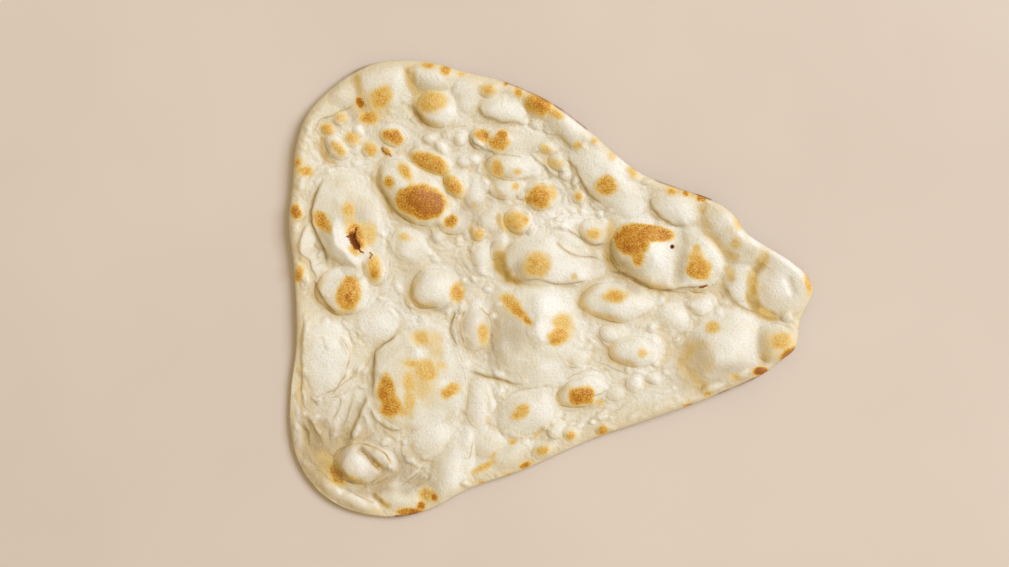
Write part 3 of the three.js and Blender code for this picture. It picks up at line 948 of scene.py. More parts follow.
    def warped(self, x, y, reach, size):
        """The plan, shifted a little so that no outline is a true ellipse."""
        return x + reach * self.sway.at(x, y, size), y + reach * self.drift.at(x, y, size)

    def blister_plan(self, x, y):
        wide_x, wide_y = self.warped(x, y, reach=1.1, size=13.0)
        return self.warped(wide_x, wide_y, reach=0.4, size=5.0)

    def bubble_plan(self, x, y):
        return self.warped(x, y, reach=3.0, size=17.0)

    def fold_plan(self, x, y):
        return self.warped(x, y, reach=0.6, size=4.0)

    def blister(self, x, y, oval):
        """Height of one blister, and how far a point lies out of its middle, 1 on its foot."""
        distance = oval.distance(x, y)
        crisp = oval.crispness * (0.4 + 0.6 * smooth_ramp(-0.6, 0.6, oval.facing(x, y)))
        steep = np.clip(1.0 - distance**2, 0.0, 1.0) ** self.STEEP_POWER
        soft = np.clip(1.0 - (distance / self.SOFT_REACH) ** 2, 0.0, 1.0) ** self.SOFT_POWER
        return self.settings.puff * oval.amount * (crisp * steep + (1.0 - crisp) * soft), distance

    def blister_rise(self, x, y):
        """Height of all blisters, and the distance to the nearest foot, negative inside it."""
        wx, wy = self.blister_plan(x, y)
        total = np.zeros(x.shape)
        away = np.full(x.shape, self.FAR_FOOT)
        for oval in self.blisters:
            height, distance = self.blister(wx, wy, oval)
            total += height**self.CREASE_SHARPNESS
            away = np.minimum(away, (distance - 1.0) * oval.radius)
        return total ** (1.0 / self.CREASE_SHARPNESS), away

    def shaded(self, x, y):
        """1 under the steep sides of the blisters, 0 under their far sides."""
        turn = math.radians(STEEP_SIDE)
        across = self.SHADE_STEP * math.cos(turn)
        up = self.SHADE_STEP * math.sin(turn)
        ahead = self.blister_rise(x - across, y - up)[0] - self.blister_rise(x + across, y + up)[0]
        return smooth_ramp(-1.2, 1.0, ahead)

    def bubble_rise(self, x, y):
        total = np.zeros(x.shape)
        for oval in self.bubbles:
            inside = np.clip(1.0 - oval.distance(x, y) ** 2, 0.0, 1.0)
            total = np.maximum(total, oval.amount * inside)
        return total

    def line_relief(self, x, y):
        """Heights of the folds and ridges, less the depths of the slits."""
        total = np.zeros(x.shape)
        wx, wy = self.fold_plan(x, y)
        for lip, reach, trace in self.folds:
            near, aside, share = trace.beside(wx, wy, 4 * reach)
            over = smooth_ramp(-1.1, 1.1, aside)
            raised = over * np.exp(-np.maximum(aside, 0.0) / reach)
            sunk = (1.0 - over) * np.exp(np.minimum(aside, 0.0) / (0.5 * reach))
            total[near] += lip * taper(share) * (raised - 0.5 * sunk)
        for height, left, right, trace in self.ridges:
            near, aside, share = trace.beside(wx, wy, max(left, right))
            slope = 1.0 - np.where(aside > 0, aside / left, -aside / right)
            total[near] += height * taper(share) * np.clip(slope, 0.0, 1.0)
        for width, depth, _, trace in self.slits:
            near, aside, _ = trace.beside(x, y, width)
            total[near] -= depth * smooth_ramp(width, 0.2 * width, np.abs(aside))
        return total

    def slope(self, x, y, away, step):
        """How much further away the nearest foot is a step along x, a step along y, and at most."""
        across = self.blister_rise(x + step, y)[1] - away
        up = self.blister_rise(x, y + step)[1] - away
        return across, up, np.maximum(np.hypot(across, up), TINY)

    def drawn_lines(self, x, y, away):
        """Fine creases of the slack dough, 1 in their middle, running along the feet of the blisters."""
        across, up, steep = self.slope(x, y, away, step=0.8)
        along_x = -up / steep
        along_y = across / steep
        streak = np.zeros(x.shape)
        for step in np.arange(-5, 6) * 1.3:
            streak += self.wrinkle.at(x + step * along_x, y + step * along_y, size=2.6)
        streak /= np.std(streak)
        patch = smooth_ramp(-0.5, 0.3, self.edge.at(x, y, size=12.0)) * smooth_ramp(-3.0, 1.0, away)
        return patch * np.exp(-((streak / 0.45) ** 2))

    def ripples(self, x, y, away):
        """Soft waves that follow the feet of the blisters, 1 on their tops."""
        phase = (away + 2.2 * self.sway.at(x, y, size=8.0)) / self.RIPPLE
        wave = 1.0 - (1.0 - np.abs(phase % 2.0 - 1.0)) ** 2
        return smooth_ramp(-0.1, 0.5, self.drift.at(x, y, size=10.0)) * wave

    def slack_relief(self, x, y, away):
        """Bubbles, ripples round the blisters, and creases and grain of the dough between them."""
        wx, wy = self.bubble_plan(x, y)
        coarse = 1.0 - 2.0 * np.abs(self.wrinkle.at(wx, 1.7 * wy, size=5.0))
        fine = 1.0 - 2.0 * np.abs(self.edge.at(1.5 * wy, wx, size=3.1))
        patch = smooth_ramp(-0.6, 0.5, self.edge.at(x, y, size=15.0))
        grain = patch * (self.COARSE_GRAIN * coarse + self.FINE_GRAIN * fine)
        creases = self.DRAWN_DEPTH * self.drawn_lines(x, y, away)
        ripples = self.RIPPLE_HEIGHT * self.ripples(x, y, away)
        return self.bubble_rise(wx, wy) + ripples + (grain - creases)

    def swells(self, x, y):
        """Soft unevenness of the whole sheet, which droops at its lower left corner."""
        towards_corner = -0.65 * x - 0.76 * y
        wide = self.WIDE_SWELL * self.lumps.at(x, y, size=31.0)
        narrow = self.NARROW_SWELL * self.lumps.at(x + 90, y, size=13.0)
        return wide + narrow - self.DROOP * smooth_ramp(*self.DROOP_REACH, towards_corner)

    def relief(self, x, y):
        """Everything that stands up from the plain sheet of dough."""
        blisters, away = self.blister_rise(x, y)
        slack = smooth_ramp(-5.0, 1.0, away)
        skin = self.UNEVEN_SKIN * self.edge.at(x + 30, y, size=6.5)
        loose = slack * self.slack_relief(x, y, away) + (1.0 - slack) * skin
        return blisters + loose + self.swells(x, y) + self.line_relief(x, y)

    def lift(self, plan):
        """How far the underside has lifted off the table."""
        waves = self.LIFT
        for turns, height, start in self.LIFT_WAVES:
            waves = waves + height * np.sin(turns * plan.angle + start)
        turn = (plan.angle - math.radians(self.LOW_CORNER)) % (2 * math.pi)
        from_corner = np.degrees(np.minimum(turn, 2 * math.pi - turn))
        held_down = self.HELD_DOWN * smooth_ramp(45.0, 10.0, from_corner)
        return waves * smooth_ramp(self.FLAT_SHARE, 1.0, plan.share) * (1.0 - held_down)

    def upper_height(self, plan):
        shape = self.settings
        edge = shape.edge_height / MM
        inwards = np.clip(plan.from_rim / (shape.edge_round / MM), 0.0, 1.0)
        bevel = np.sqrt(1.0 - (1.0 - inwards) ** 2)
        roll = shape.roll / MM * (1.0 - smooth_ramp(0.0, shape.roll_width / MM, plan.from_rim))
        thickness = np.maximum(shape.crumb / MM + roll + self.relief(plan.x, plan.y), self.THINNEST)
        return self.lift(plan) + edge + (thickness - edge) * bevel

    def under_height(self, plan):
        wide = self.WIDE_DIMPLE * np.clip(self.lumps.at(plan.x, plan.y, size=11.0), 0.0, 1.0)
        narrow = self.NARROW_DIMPLE * np.clip(self.edge.at(plan.x, plan.y, size=6.0), 0.0, 1.0)
        return self.lift(plan) + (wide + narrow)

    def spots(self, x, y, rows):
        """Strength of a list of browned spots, the weaker ones with softer edges."""
        rough = 1.1 * self.edge.at(x, y, size=4.5) + 0.5 * self.wrinkle.at(x, y, size=1.9)
        total = np.zeros(x.shape)
        for spot in ovals(rows):
            faint = 1.0 - min(1.0, spot.amount)
            fade = min((1.9 + 4.2 * faint) / spot.radius, 0.6 + 0.3 * faint)
            distance = spot.distance(x, y) + rough * min(1.0, spot.radius / 5.0) / spot.radius
            shows = smooth_ramp(min(1.0 + 0.6 * fade, 1.5), max(1.0 - fade, 0.2), distance)
            total = np.maximum(total, spot.amount * shows)
        return total

    def soft_patch(self, x, y, rows):
        """Strength of a list of soft patches of stain, painted shade and painted highlight, fading all the
        way from the middle to uneven edges.
        """
        rough = 0.2 * self.edge.at(x, y, size=4.5) + 0.12 * self.wrinkle.at(x, y, size=1.9)
        total = np.zeros(x.shape)
        for oval in ovals(rows):
            distance = oval.distance(x, y) + rough * min(1.0, 10.0 / oval.width)
            total = np.maximum(total, oval.amount * smooth_ramp(1.4, 0.3, distance))
        return total

    def bands(self, x, y, rows):
        """Strength of a list of lines, each fading out unevenly over its width."""
        total = np.zeros(x.shape)
        uneven = 0.85 + 0.3 * self.edge.at(x, y, size=6.0) + 0.2 * self.wrinkle.at(x, y, size=2.7)
        wx, wy = self.warped(x, y, reach=0.8, size=6.0)
        for width, strength, trace in traced(rows):
            near, aside, share = trace.beside(wx, wy, width)
            whole = 0.3 + 0.7 * taper(share, ends=0.12)
            fade = strength * smooth_ramp(width, 0.0, np.abs(aside)) * whole
            total[near] = np.maximum(total[near], fade)
        return total * uneven

    def dark_slits(self, x, y):
        total = np.zeros(x.shape)
        for width, _, dark, trace in self.slits:
            near, aside, _ = trace.beside(x, y, width)
            total[near] = np.maximum(total[near], dark * smooth_ramp(width, 0.35 * width, np.abs(aside)))
        return total

    def feet(self, x, y):
        """What shows along the feet of blisters and folds, most of it on the blisters' steep sides, where
        shade falls.

        Gives the ochre of bare dough with painted shade there, the painted shadow outside them, and the
        thin lines of painted shade.
        """
        wx, wy = self.blister_plan(x, y)
        power = self.CREASE_SHARPNESS
        heights = [self.blister(wx, wy, oval)[0] for oval in self.blisters]
        total = sum(height**power for height in heights)
        bare_and_shaded = np.zeros(x.shape)
        painted_shadow = np.zeros(x.shape)
        lines = LineMap(len(x))
        for oval, height in zip(self.blisters, heights):
            distance = np.maximum(oval.distance(wx, wy), TINY)
            out = (distance - 1.0) * np.hypot(wx - oval.x, wy - oval.y) / distance
            other = np.maximum(total - height**power, 0.0) ** (1.0 / power)
            clear = smooth_ramp(2.0, 0.4, other)
            steep = smooth_ramp(-0.1, 0.9, oval.facing(wx, wy))
            firmness = (0.2 + oval.crispness) * min(1.0, oval.amount / 5.0)
            # Strongest on the steep side, where shade falls: the ochre, painted shadow and lines here are
            # painted shade.
            strength = clear * (0.12 + 0.88 * steep) * firmness
            outside = np.where(out > 0, smooth_ramp(self.FOOT_SHADE_OUTSIDE, 0.0, out), 0.0)
            inside = np.where(out > 0, 0.0, smooth_ramp(-self.FOOT_SHADE_INSIDE, 0.0, out))
            bare_and_shaded = np.maximum(bare_and_shaded, strength * (inside + 0.5 * outside))
            painted_shadow = np.maximum(painted_shadow, strength * outside)
            plainness = min(1.0, 1.35 * oval.crispness) * min(1.0, oval.amount / 3.0)
            # The thin lines are painted shade, plainest on the steep, shaded side.
            lines.add(slice(None), out, clear * (0.3 + 0.7 * steep) * plainness)
        self.bubble_feet(x, y, total ** (1.0 / power), lines)
        self.fold_feet(x, y, bare_and_shaded, lines)
        return bare_and_shaded, painted_shadow, lines

    def bubble_feet(self, x, y, rise, lines):
        """Adds the shaded sides of the small bubbles' feet to the thin lines of painted shade, where no
        blister rises.
        """
        wx, wy = self.bubble_plan(x, y)
        for oval in self.bubbles:
            near = np.flatnonzero(np.hypot(wx - oval.x, wy - oval.y) < 0.5 * oval.length + 2.0)
            out = (oval.distance(wx[near], wy[near]) - 1.0) * oval.radius
            shows = smooth_ramp(0.6, 0.1, rise[near])
            shows *= smooth_ramp(-0.2, 0.8, oval.facing(wx[near], wy[near]))
            lines.add(near, out, min(0.6, 0.5 * oval.amount) * shows)

    def fold_feet(self, x, y, bare_and_shaded, lines):
        """Adds the folds to the thin lines of painted shade, and to the ochre of bare dough and painted
        shade.
        """
        wx, wy = self.fold_plan(x, y)
        for lip, _, trace in self.folds:
            near, aside, share = trace.beside(wx, wy, 5.0)
            weight = taper(share) * min(1.0, lip / 0.9)
            bare_and_shaded[near] = np.maximum(bare_and_shaded[near], 0.5 * weight * smooth_ramp(3.2, 0.0, np.abs(aside)))
            lines.add(near, aside, weight)

    def torn(self, x, y):
        """The thin cracks of the skin."""
        lines = LineMap(len(x))
        wx, wy = self.warped(x, y, reach=0.5, size=1.7)
        for strength, trace in self.cracks:
            near, aside, share = trace.beside(wx, wy, lines.FAR)
            lines.add(near, aside, strength * taper(share))
        return lines


def blurred(values, reach):
    """The mean over a square of 2 reach + 1 points of a grid, taken twice, edges repeated."""
    for axis in (0, 1, 0, 1):
        margin = [(0, 0), (0, 0)]
        margin[axis] = (reach + 1, reach)
        total = np.cumsum(np.pad(values, margin, mode="edge"), axis=axis)
        size = values.shape[axis]
        upper = np.take(total, range(2 * reach + 1, 2 * reach + 1 + size), axis=axis)
        lower = np.take(total, range(size), axis=axis)
        values = (upper - lower) / (2 * reach + 1)
    return values


def sunkenness(height, reach):
    """How far each point of a square grid lies below the points around it, in the heights' own unit."""
    side = math.isqrt(len(height))
    grid = height.reshape(side, side)
    return (blurred(grid, reach) - grid).ravel()


def rim_radius(angle):
    """Distance from the hub to the rim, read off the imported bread's outermost ring of points."""
    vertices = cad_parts[BREAD_NODE].data.vertices
    points = np.array([v.co[:2] for v in vertices]) / MM - HUB
    turn = np.arctan2(points[:, 1], points[:, 0])
    bins = np.round(turn / (2 * math.pi) * RIM_POINTS).astype(int) % RIM_POINTS
    radius = np.zeros(RIM_POINTS)
    np.maximum.at(radius, bins, np.hypot(points[:, 0], points[:, 1]))
    along = angle / (2 * math.pi) * RIM_POINTS
    base = np.floor(along).astype(int)
    around = [radius[(base + k) % RIM_POINTS] for k in (-1, 0, 1, 2)]
    return spline(*around, along - base)


def ringed_plan(verts, inset):
    """Draws a square of vertices from -1 to 1 out into rings round the hub, inset from the rim."""
    u, v, _ = np.array([vert.co for vert in verts]).T
    square = np.maximum(np.abs(u), np.abs(v))
    wide = np.abs(u) > np.abs(v)
    safe_u = np.where(wide, u, 1.0)
    safe_v = np.where(wide | (v == 0.0), 1.0, v)
    eighths = np.where(
        wide,
        v / safe_u + np.where(u < 0, 4.0, 0.0),
        2.0 - u / safe_v + np.where(v < 0, 4.0, 0.0),
    )
    angle = eighths * math.pi / 4
    share = 1.0 - (1.0 - square) ** RING_CROWDING
    rim = rim_radius(angle)
    radius = share * (rim - inset)
    x = HUB[0] + radius * np.cos(angle)
    y = HUB[1] + radius * np.sin(angle)
    return Plan(x, y, share, angle, (1.0 - share) * rim)


def boundary_edges(bm):
    return [edge for edge in bm.edges if edge.is_boundary]


def place(verts, plan, height):
    for vert, position in zip(verts, np.column_stack((plan.x, plan.y, height)) * MM):
        vert.co = position


def bread_mesh(settings):
    """The bread as one closed mesh: upper and under grids drawn out into rings and bridged at the rim."""
    field = DoughField(settings)
    rings = settings.rings
    bm = bmesh.new()
    bmesh.ops.create_grid(bm, x_segments=rings, y_segments=rings, size=1.0)
    bmesh.ops.subdivide_edges(bm, edges=boundary_edges(bm), cuts=1)
    bmesh.ops.reverse_faces(bm, faces=bm.faces)
    under = list(bm.verts)
    upper = bmesh.ops.create_grid(bm, x_segments=2 * rings, y_segments=2 * rings, size=1.0)["verts"]

    under_plan = ringed_plan(under, inset=settings.under_inset / MM)
    place(under, under_plan, field.under_height(under_plan))
    upper_plan = ringed_plan(upper, inset=0.0)
    height = field.upper_height(upper_plan)
    place(upper, upper_plan, height)
    bmesh.ops.bridge_loops(bm, edges=boundary_edges(bm))
    bmesh.ops.triangulate(bm, faces=bm.faces, quad_method="SHORT_EDGE", ngon_method="BEAUTY")
    bmesh.ops.recalc_face_normals(bm, faces=bm.faces)
    mesh = bpy.data.meshes.new("naan_bread")
    bm.to_mesh(mesh)
    bm.free()
    mesh.polygons.foreach_set("use_smooth", np.ones(len(mesh.polygons), dtype=bool))
    paint(mesh, under_stains(field, under_plan), upper_stains_and_shade(field, upper_plan, height))
    return mesh


def paint(mesh, below, above):
    """Writes the stains, painted shade and painted highlights as attributes of the mesh's points, which
    start with the underside's.
    """
    plain = np.zeros_like(below["bare_and_shaded"])
    for name, values in above.items():
        whole = np.concatenate((below.get(name, plain), values)).astype(np.float32)
        mesh.attributes.new(name, "FLOAT", "POINT").data.foreach_set("value", whole)


def under_stains(field, plan):
    """The stains that the underside has, each a value at each of its points."""
    return {
        "toasting": field.spots(plan.x, plan.y, field.strewn_under_spots(seed=29)),
        "bare_and_shaded": 0.25 + 0.2 * field.edge.at(plan.x, plan.y, size=15.0),
    }


def upper_stains_and_shade(field, plan, height):
    """The stains, painted shade and painted highlights of the upper face, each a value at each of its
    points.
    """
    x = plan.x
    y = plan.y
    wide = sunkenness(height, reach=6)
    narrow = sunkenness(height, reach=3)
    inner = smooth_ramp(2.0, 9.0, plan.from_rim)
    away = field.blister_rise(x, y)[1]
    slack = smooth_ramp(-4.0, 1.0, away) * inner
    shaded = field.shaded(x, y)
    # Lit is 1 on the ground at the lit sides of blisters, which is whitened below as painted highlight.
    lit = smooth_ramp(0.45, 0.1, shaded) * slack

    # Domes and lumps whiten as stretched, drier skin and as painted highlight.
    domes = smooth_ramp(0.1, 1.6, -wide) * inner
    lumps = smooth_ramp(0.05, 0.45, -narrow) * slack
    raised = np.maximum.reduce((0.75 * domes, 0.8 * lumps, 0.4 * lit))
    tanned_and_shaded = field.soft_patch(x, y, TANNED_AND_SHADED)
    pale_skin_and_highlight = raised * (1.0 - 0.6 * np.clip(tanned_and_shaded, 0.0, 1.0))

    # Dips, hollows and drawn creases turn ochre as bare dough and as painted shade, more on shaded sides,
    # less on lit ones.
    shaded_dips = np.clip(wide / 3.0, 0.0, 1.0) * inner * (0.3 + 0.7 * shaded)
    creases = field.drawn_lines(x, y, away) * (1.0 - 0.5 * lit)
    hollow_shade = smooth_ramp(0.05, 0.5, narrow) * slack * (1.0 - 0.6 * lit)
    # Ochre at the blisters' feet and the painted shadow outside them fall mostly on their shaded sides.
    feet, painted_shadow, lines = field.feet(x, y)
    bands = field.bands(x, y, BARE_AND_SHADED_BANDS)
    bare_and_shaded = np.maximum.reduce((0.74 * feet * inner, bands, 0.48 * shaded_dips, 0.3 * creases, 0.3 * hollow_shade))

    broken = np.clip(0.75 + 0.6 * field.wrinkle.at(x + 50, y, size=3.5), 0.2, 1.2)
    cracks = field.torn(x, y)
    return {
        "toasting": field.spots(x, y, BROWNED),
        "bare_and_shaded": bare_and_shaded,
        "line_gap": lines.gap,
        "line_shows": lines.shown() * inner * broken,
        "crack_gap": cracks.gap,
        "crack_shows": cracks.shown(),
        "deep_shade": field.bands(x, y, SHADED_CREASES),
        "scorched": field.bands(x, y, SCORCHED) * smooth_ramp(1.8, 0.5, plan.from_rim),
        "hole": field.dark_slits(x, y),
        "crest_and_highlight": np.maximum(pale_skin_and_highlight, field.soft_patch(x, y, FLOURED_AND_LIT)),
        "rim": smooth_ramp(14.0, 3.0, plan.from_rim),
        # Tanned: dry dough, painted shade, and painted shadow outside the shaded feet of blisters.
        "tanned_and_shaded": np.maximum(tanned_and_shaded, 0.4 * painted_shadow * inner),
    }


def opaque(colour):
    return (*colour, 1.0)


class NodeBench:
    """Adds and links the nodes of one material."""

    def __init__(self, name):
        self.material = bpy.data.materials.new(name)
        self.material.use_nodes = True
        self.tree = self.material.node_tree
        self.shader = self.tree.nodes["Principled BSDF"]
        self.place = self.add("ShaderNodeTexCoord").outputs["Object"]

    def add(self, kind, **settings):
        node = self.tree.nodes.new(kind)
        for name, value in settings.items():
            setattr(node, name, value)
        return node

    def feed(self, socket, value):
        if isinstance(value, bpy.types.NodeSocket):
            self.tree.links.new(value, socket)
        else:
            socket.default_value = value

    def finish(self, values):
        """Feeds the shader's sockets, by name."""
        for name, value in values.items():
            self.feed(self.shader.inputs[name], value)
        return self.material

    def attribute(self, name):
        return self.add("ShaderNodeAttribute", attribute_name=name).outputs["Fac"]

    def noise(self, size, detail, roughness, kind="FBM"):
        node = self.add("ShaderNodeTexNoise", noise_type=kind)
        self.feed(node.inputs["Vector"], self.place)
        self.feed(node.inputs["Scale"], 1.0 / size)
        self.feed(node.inputs["Detail"], detail)
        self.feed(node.inputs["Roughness"], roughness)
        return node.outputs["Fac"]

    def math(self, operation, first, second=0.0, clamp=False):
        node = self.add("ShaderNodeMath", operation=operation, use_clamp=clamp)
        self.feed(node.inputs[0], first)
        self.feed(node.inputs[1], second)
        return node.outputs[0]

    def scaled(self, value, factor):
        return self.math("MULTIPLY", value, factor)

    def ramp(self, value, low, high):
        node = self.add("ShaderNodeMapRange", interpolation_type="SMOOTHSTEP")
        self.feed(node.inputs["Value"], value)
        self.feed(node.inputs["From Min"], low)
        self.feed(node.inputs["From Max"], high)
        return node.outputs["Result"]

    def thin_line(self, name, outer, inner):
        """1 within inner millimetres of a line map's lines, 0 beyond outer, less where they show less."""
        away = self.math("ABSOLUTE", self.attribute(name + "_gap"))
        return self.math("MULTIPLY", self.ramp(away, outer, inner), self.attribute(name + "_shows"))

    def layered(self, colour, layers):
        """Lays colours over a first one, each by its own amount."""
        result = opaque(colour)
        for amount, over in layers:
            node = self.add("ShaderNodeMix", data_type="RGBA")
            self.feed(node.inputs["Factor"], amount)
            self.feed(node.inputs[6], result)
            self.feed(node.inputs[7], opaque(over))
            result = node.outputs[2]
        return result

    def bumpy(self, *heights):
        """A normal bumped by each height over its own distance in turn."""
        normal = None
        for height, distance in heights:
            node = self.add("ShaderNodeBump")
            self.feed(node.inputs["Height"], height)
            self.feed(node.inputs["Distance"], distance)
            if normal is not None:
                self.feed(node.inputs["Normal"], normal)
            normal = node.outputs["Normal"]
        return normal


def dough_layers(bench, colours):
    """The dough before it browns: whiter where flour lies, on crests and as painted highlight, ochre where
    it is bare and as painted shade.
    """
    flour = bench.noise(9 * MM, detail=4.0, roughness=0.6)
    mottle = bench.noise(0.85 * MM, detail=2.0, roughness=0.75)
    bare_and_shaded = bench.attribute("bare_and_shaded")
    return (
        (bench.ramp(flour, 0.3, 0.7), colours.flour),
        (bench.scaled(bench.attribute("rim"), 0.6), colours.rim),
        (bench.attribute("tanned_and_shaded"), colours.tan),
        (bench.attribute("crest_and_highlight"), colours.crest_and_highlight),
        (bench.scaled(bench.ramp(mottle, 0.42, 0.72), 0.4), colours.shade),
        (bench.ramp(bare_and_shaded, 0.0, 0.6), colours.pale_ochre),
        (bench.ramp(bare_and_shaded, 0.4, 1.0), colours.ochre),
    )


def browning(bench, grain):
    """How far the dough is baked, uneven from grain to grain."""
    toasting = bench.attribute("toasting")
    patchy = bench.noise(3.0 * MM, detail=3.0, roughness=0.6)
    uneven = bench.math("ADD", bench.scaled(grain, 2.1), bench.scaled(patchy, 0.6))
    uneven = bench.math("SUBTRACT", uneven, 1.35)
    return bench.math("ADD", toasting, bench.math("MULTIPLY", uneven, bench.ramp(toasting, 0.1, 0.8)))


def browned_layers(bench, colours, toasting):
    """Browned spots, from pale gold to dark brown."""
    return (
        (bench.ramp(toasting, 0.0, 0.4), colours.pale_gold),
        (bench.ramp(toasting, 0.28, 0.6), colours.gold),
        (bench.ramp(toasting, 0.5, 0.85), colours.toast),
        (bench.ramp(toasting, 0.78, 1.08), colours.brown),
    )


def crease_layers(bench, colours):
    """Painted shade in deep creases and in thin lines along feet and folds, and the burnt stretches of the
    rim.
    """
    line = bench.thin_line("line", outer=0.6, inner=0.1)
    return (
        (bench.attribute("deep_shade"), colours.seam),
        (bench.scaled(line, 0.65), colours.seam),
        (bench.attribute("scorched"), colours.scorch),
    )


def tearing(bench, grain):
    """How deep the tears, pits and cracks are, with ragged edges."""
    crack = bench.thin_line("crack", outer=0.9, inner=0.35)
    hole = bench.math("MAXIMUM", bench.attribute("hole"), crack)
    ragged = bench.math("MULTIPLY", bench.math("SUBTRACT", grain, 0.55), bench.ramp(hole, 0.0, 0.3))
    return bench.math("ADD", hole, bench.scaled(ragged, 2.0))


def torn_layers(bench, colours, hole):
    """Tears, pits and cracks, from their browned edges to their dark insides, with black painted shade in
    the deepest pit.
    """
    return (
        (bench.ramp(hole, 0.1, 0.5), colours.brown),
        (bench.ramp(hole, 0.4, 0.9), colours.hole),
        (bench.ramp(hole, 1.1, 1.5), colours.pit_shade),
    )


def baked_dough(colours):
    """Floury cream dough with painted highlights, ochre and painted shade in its hollows and creases, and
    granular browned spots.
    """
    bench = NodeBench("baked_dough")
    grain = bench.noise(0.7 * MM, detail=2.0, roughness=0.7)
    toasting = browning(bench, grain)
    hole = tearing(bench, grain)
    layers = (
        *dough_layers(bench, colours),
        *browned_layers(bench, colours, toasting),
        *crease_layers(bench, colours),
        *torn_layers(bench, colours, hole),
    )
    rough = bench.math("ADD", bench.math("MULTIPLY", hole, 0.5, clamp=True), 0.52)
    glazed = bench.scaled(bench.ramp(toasting, 0.3, 1.0), 0.08)
    creased = bench.noise(2.8 * MM, detail=3.0, roughness=0.55, kind="RIDGED_MULTIFRACTAL")
    pitted = bench.noise(1.3 * MM, detail=3.0, roughness=0.7)
    return bench.finish(
        {
            "Base Color": bench.layered(colours.dough, layers),
            "Roughness": bench.math("SUBTRACT", rough, glazed),
            "Specular IOR Level": 0.4,
            "Subsurface Weight": 0.1,
            "Subsurface Radius": (1.0, 0.6, 0.3),
            "Subsurface Scale": 1.0 * MM,
            "Normal": bench.bumpy((creased, 0.25 * MM), (pitted, 0.32 * MM), (grain, 0.18 * MM)),
        }
    )


def floor_finish(colours):
    """Pale plaster with a faint unevenness."""
    bench = NodeBench("pale_floor")
    cloud = bench.ramp(bench.noise(0.22, detail=3.0, roughness=0.55), 0.3, 0.7)
    clouded = bench.layered(colours.floor, [(cloud, colours.floor_pale)])
    return bench.finish({"Base Color": clouded, "Roughness": 0.85})


def colour_property(name, description, default):
    return bpy.props.FloatVectorProperty(
        name=name, description=description, default=default, subtype="COLOR", size=3, min=0.0, max=1.0
    )


def length_property(name, description, default):
    return bpy.props.FloatProperty(
        name=name, description=description, default=default, unit="LENGTH", subtype="DISTANCE", min=0.0
    )


def number_property(name, description, default, unit="NONE", low=0.0):
    return bpy.props.FloatProperty(
        name=name, description=description, default=default, unit=unit, min=low
    )


class NaanShape(bpy.types.PropertyGroup):
    """Sizes of the bread."""

    crumb: length_property("Crumb", "Thickness of the dough between blisters", 4.2 * MM)
    roll: length_property("Roll", "Extra thickness along the rim", 1.6 * MM)
    roll_width: length_property("Roll width", "How far the rim's roll runs inwards", 18 * MM)
    edge_round: length_property("Edge round", "Plan width of the rim's upper rounding", 6 * MM)
    edge_height: length_property("Edge height", "Outermost line's height over the underside", 2.4 * MM)
    under_inset: length_property("Under inset", "Underside's inset from the outermost line", 2.5 * MM)
    puff: number_property("Puff", "Rise of the blisters, 1 as listed", 0.8)
    rings: bpy.props.IntProperty(
        name="Rings", description="Mesh rings of the upper face", default=136, min=8
    )


class NaanColours(bpy.types.PropertyGroup):
    """Colours of the dough and of the floor."""

    dough: colour_property("Dough", "Plain cream dough", (0.785, 0.748, 0.61))
    flour: colour_property("Flour", "Dough pale with flour", (0.85, 0.86, 0.815))
    # Crest whitens stretched skin, and is painted highlight on domes and on ground towards the light.
    crest_and_highlight: colour_property("Crest", "Skin stretched white over a blister", (0.93, 0.955, 0.955))
    shade: colour_property("Shade", "Darker mottling of the dough", (0.60, 0.56, 0.40))
    rim: colour_property("Rim", "Yellowish dough of the rim", (0.74, 0.63, 0.40))
    # Tan is dry dough, and also painted shade on shaded slopes and outside the shaded feet of blisters.
    tan: colour_property("Tan", "Dry, darker dough", (0.44, 0.325, 0.17))
    # Pale ochre and ochre colour bare dough, and are also painted shade in dips, hollows, creases and on
    # the shaded sides of blisters.
    pale_ochre: colour_property("Pale ochre", "Dough in the dips between blisters", (0.70, 0.55, 0.29))
    ochre: colour_property("Ochre", "Bare dough in hollows and creases", (0.57, 0.385, 0.10))
    # Crease shade is the painted shade in deep creases and in thin lines along feet and folds.
    seam: colour_property("Seam", "Thin dark lines along feet and folds", (0.26, 0.185, 0.06))
    pale_gold: colour_property("Pale gold", "Faintly baked skin round the spots", (0.80, 0.625, 0.28))
    gold: colour_property("Gold", "Lightly baked spots", (0.74, 0.44, 0.065))
    toast: colour_property("Toast", "Well baked spots", (0.59, 0.253, 0.015))
    brown: colour_property("Brown", "Darkest baked spots", (0.37, 0.122, 0.009))
    scorch: colour_property("Scorch", "Burnt lines of the rim", (0.28, 0.10, 0.025))
    hole: colour_property("Hole", "Inside of tears and pits", (0.15, 0.034, 0.003))
    # Pit shade is the black painted shade inside the deepest pit.
    pit_shade: colour_property("Pit", "Black of the deepest pit", (0.03, 0.014, 0.007))
    floor: colour_property("Floor", "Floor", (0.68, 0.61, 0.56))
    floor_pale: colour_property("Floor pale", "Paler clouds of the floor", (0.72, 0.65, 0.60))


class NaanStage(bpy.types.PropertyGroup):
    """Light and camera."""

    key_power: number_property("Key power", "Power of the main light", 231.0, unit="POWER")
    key_size: length_property("Key size", "Side of the main light", 3.0)
    key_colour: colour_property("Key colour", "Colour of the main light", (0.83, 0.88, 0.99))
    key_place: bpy.props.FloatVectorProperty(
        name="Key place",
        description="Where the main light hangs, aimed at the bread",
        default=(3.43, 1.49, 3.62),
        unit="LENGTH",
        subtype="TRANSLATION",
    )
    sky: number_property("Sky", "Strength of the light from all round", 0.575)
    sky_colour: colour_property("Sky colour", "Colour of the light from all round", (1.0, 0.785, 0.47))
    lens: number_property("Lens", "Focal length of the camera", 70.0, unit="CAMERA", low=1.0)
    pixel: length_property("Pixel", "Width of bread that one pixel of the picture shows", 0.56 * MM)


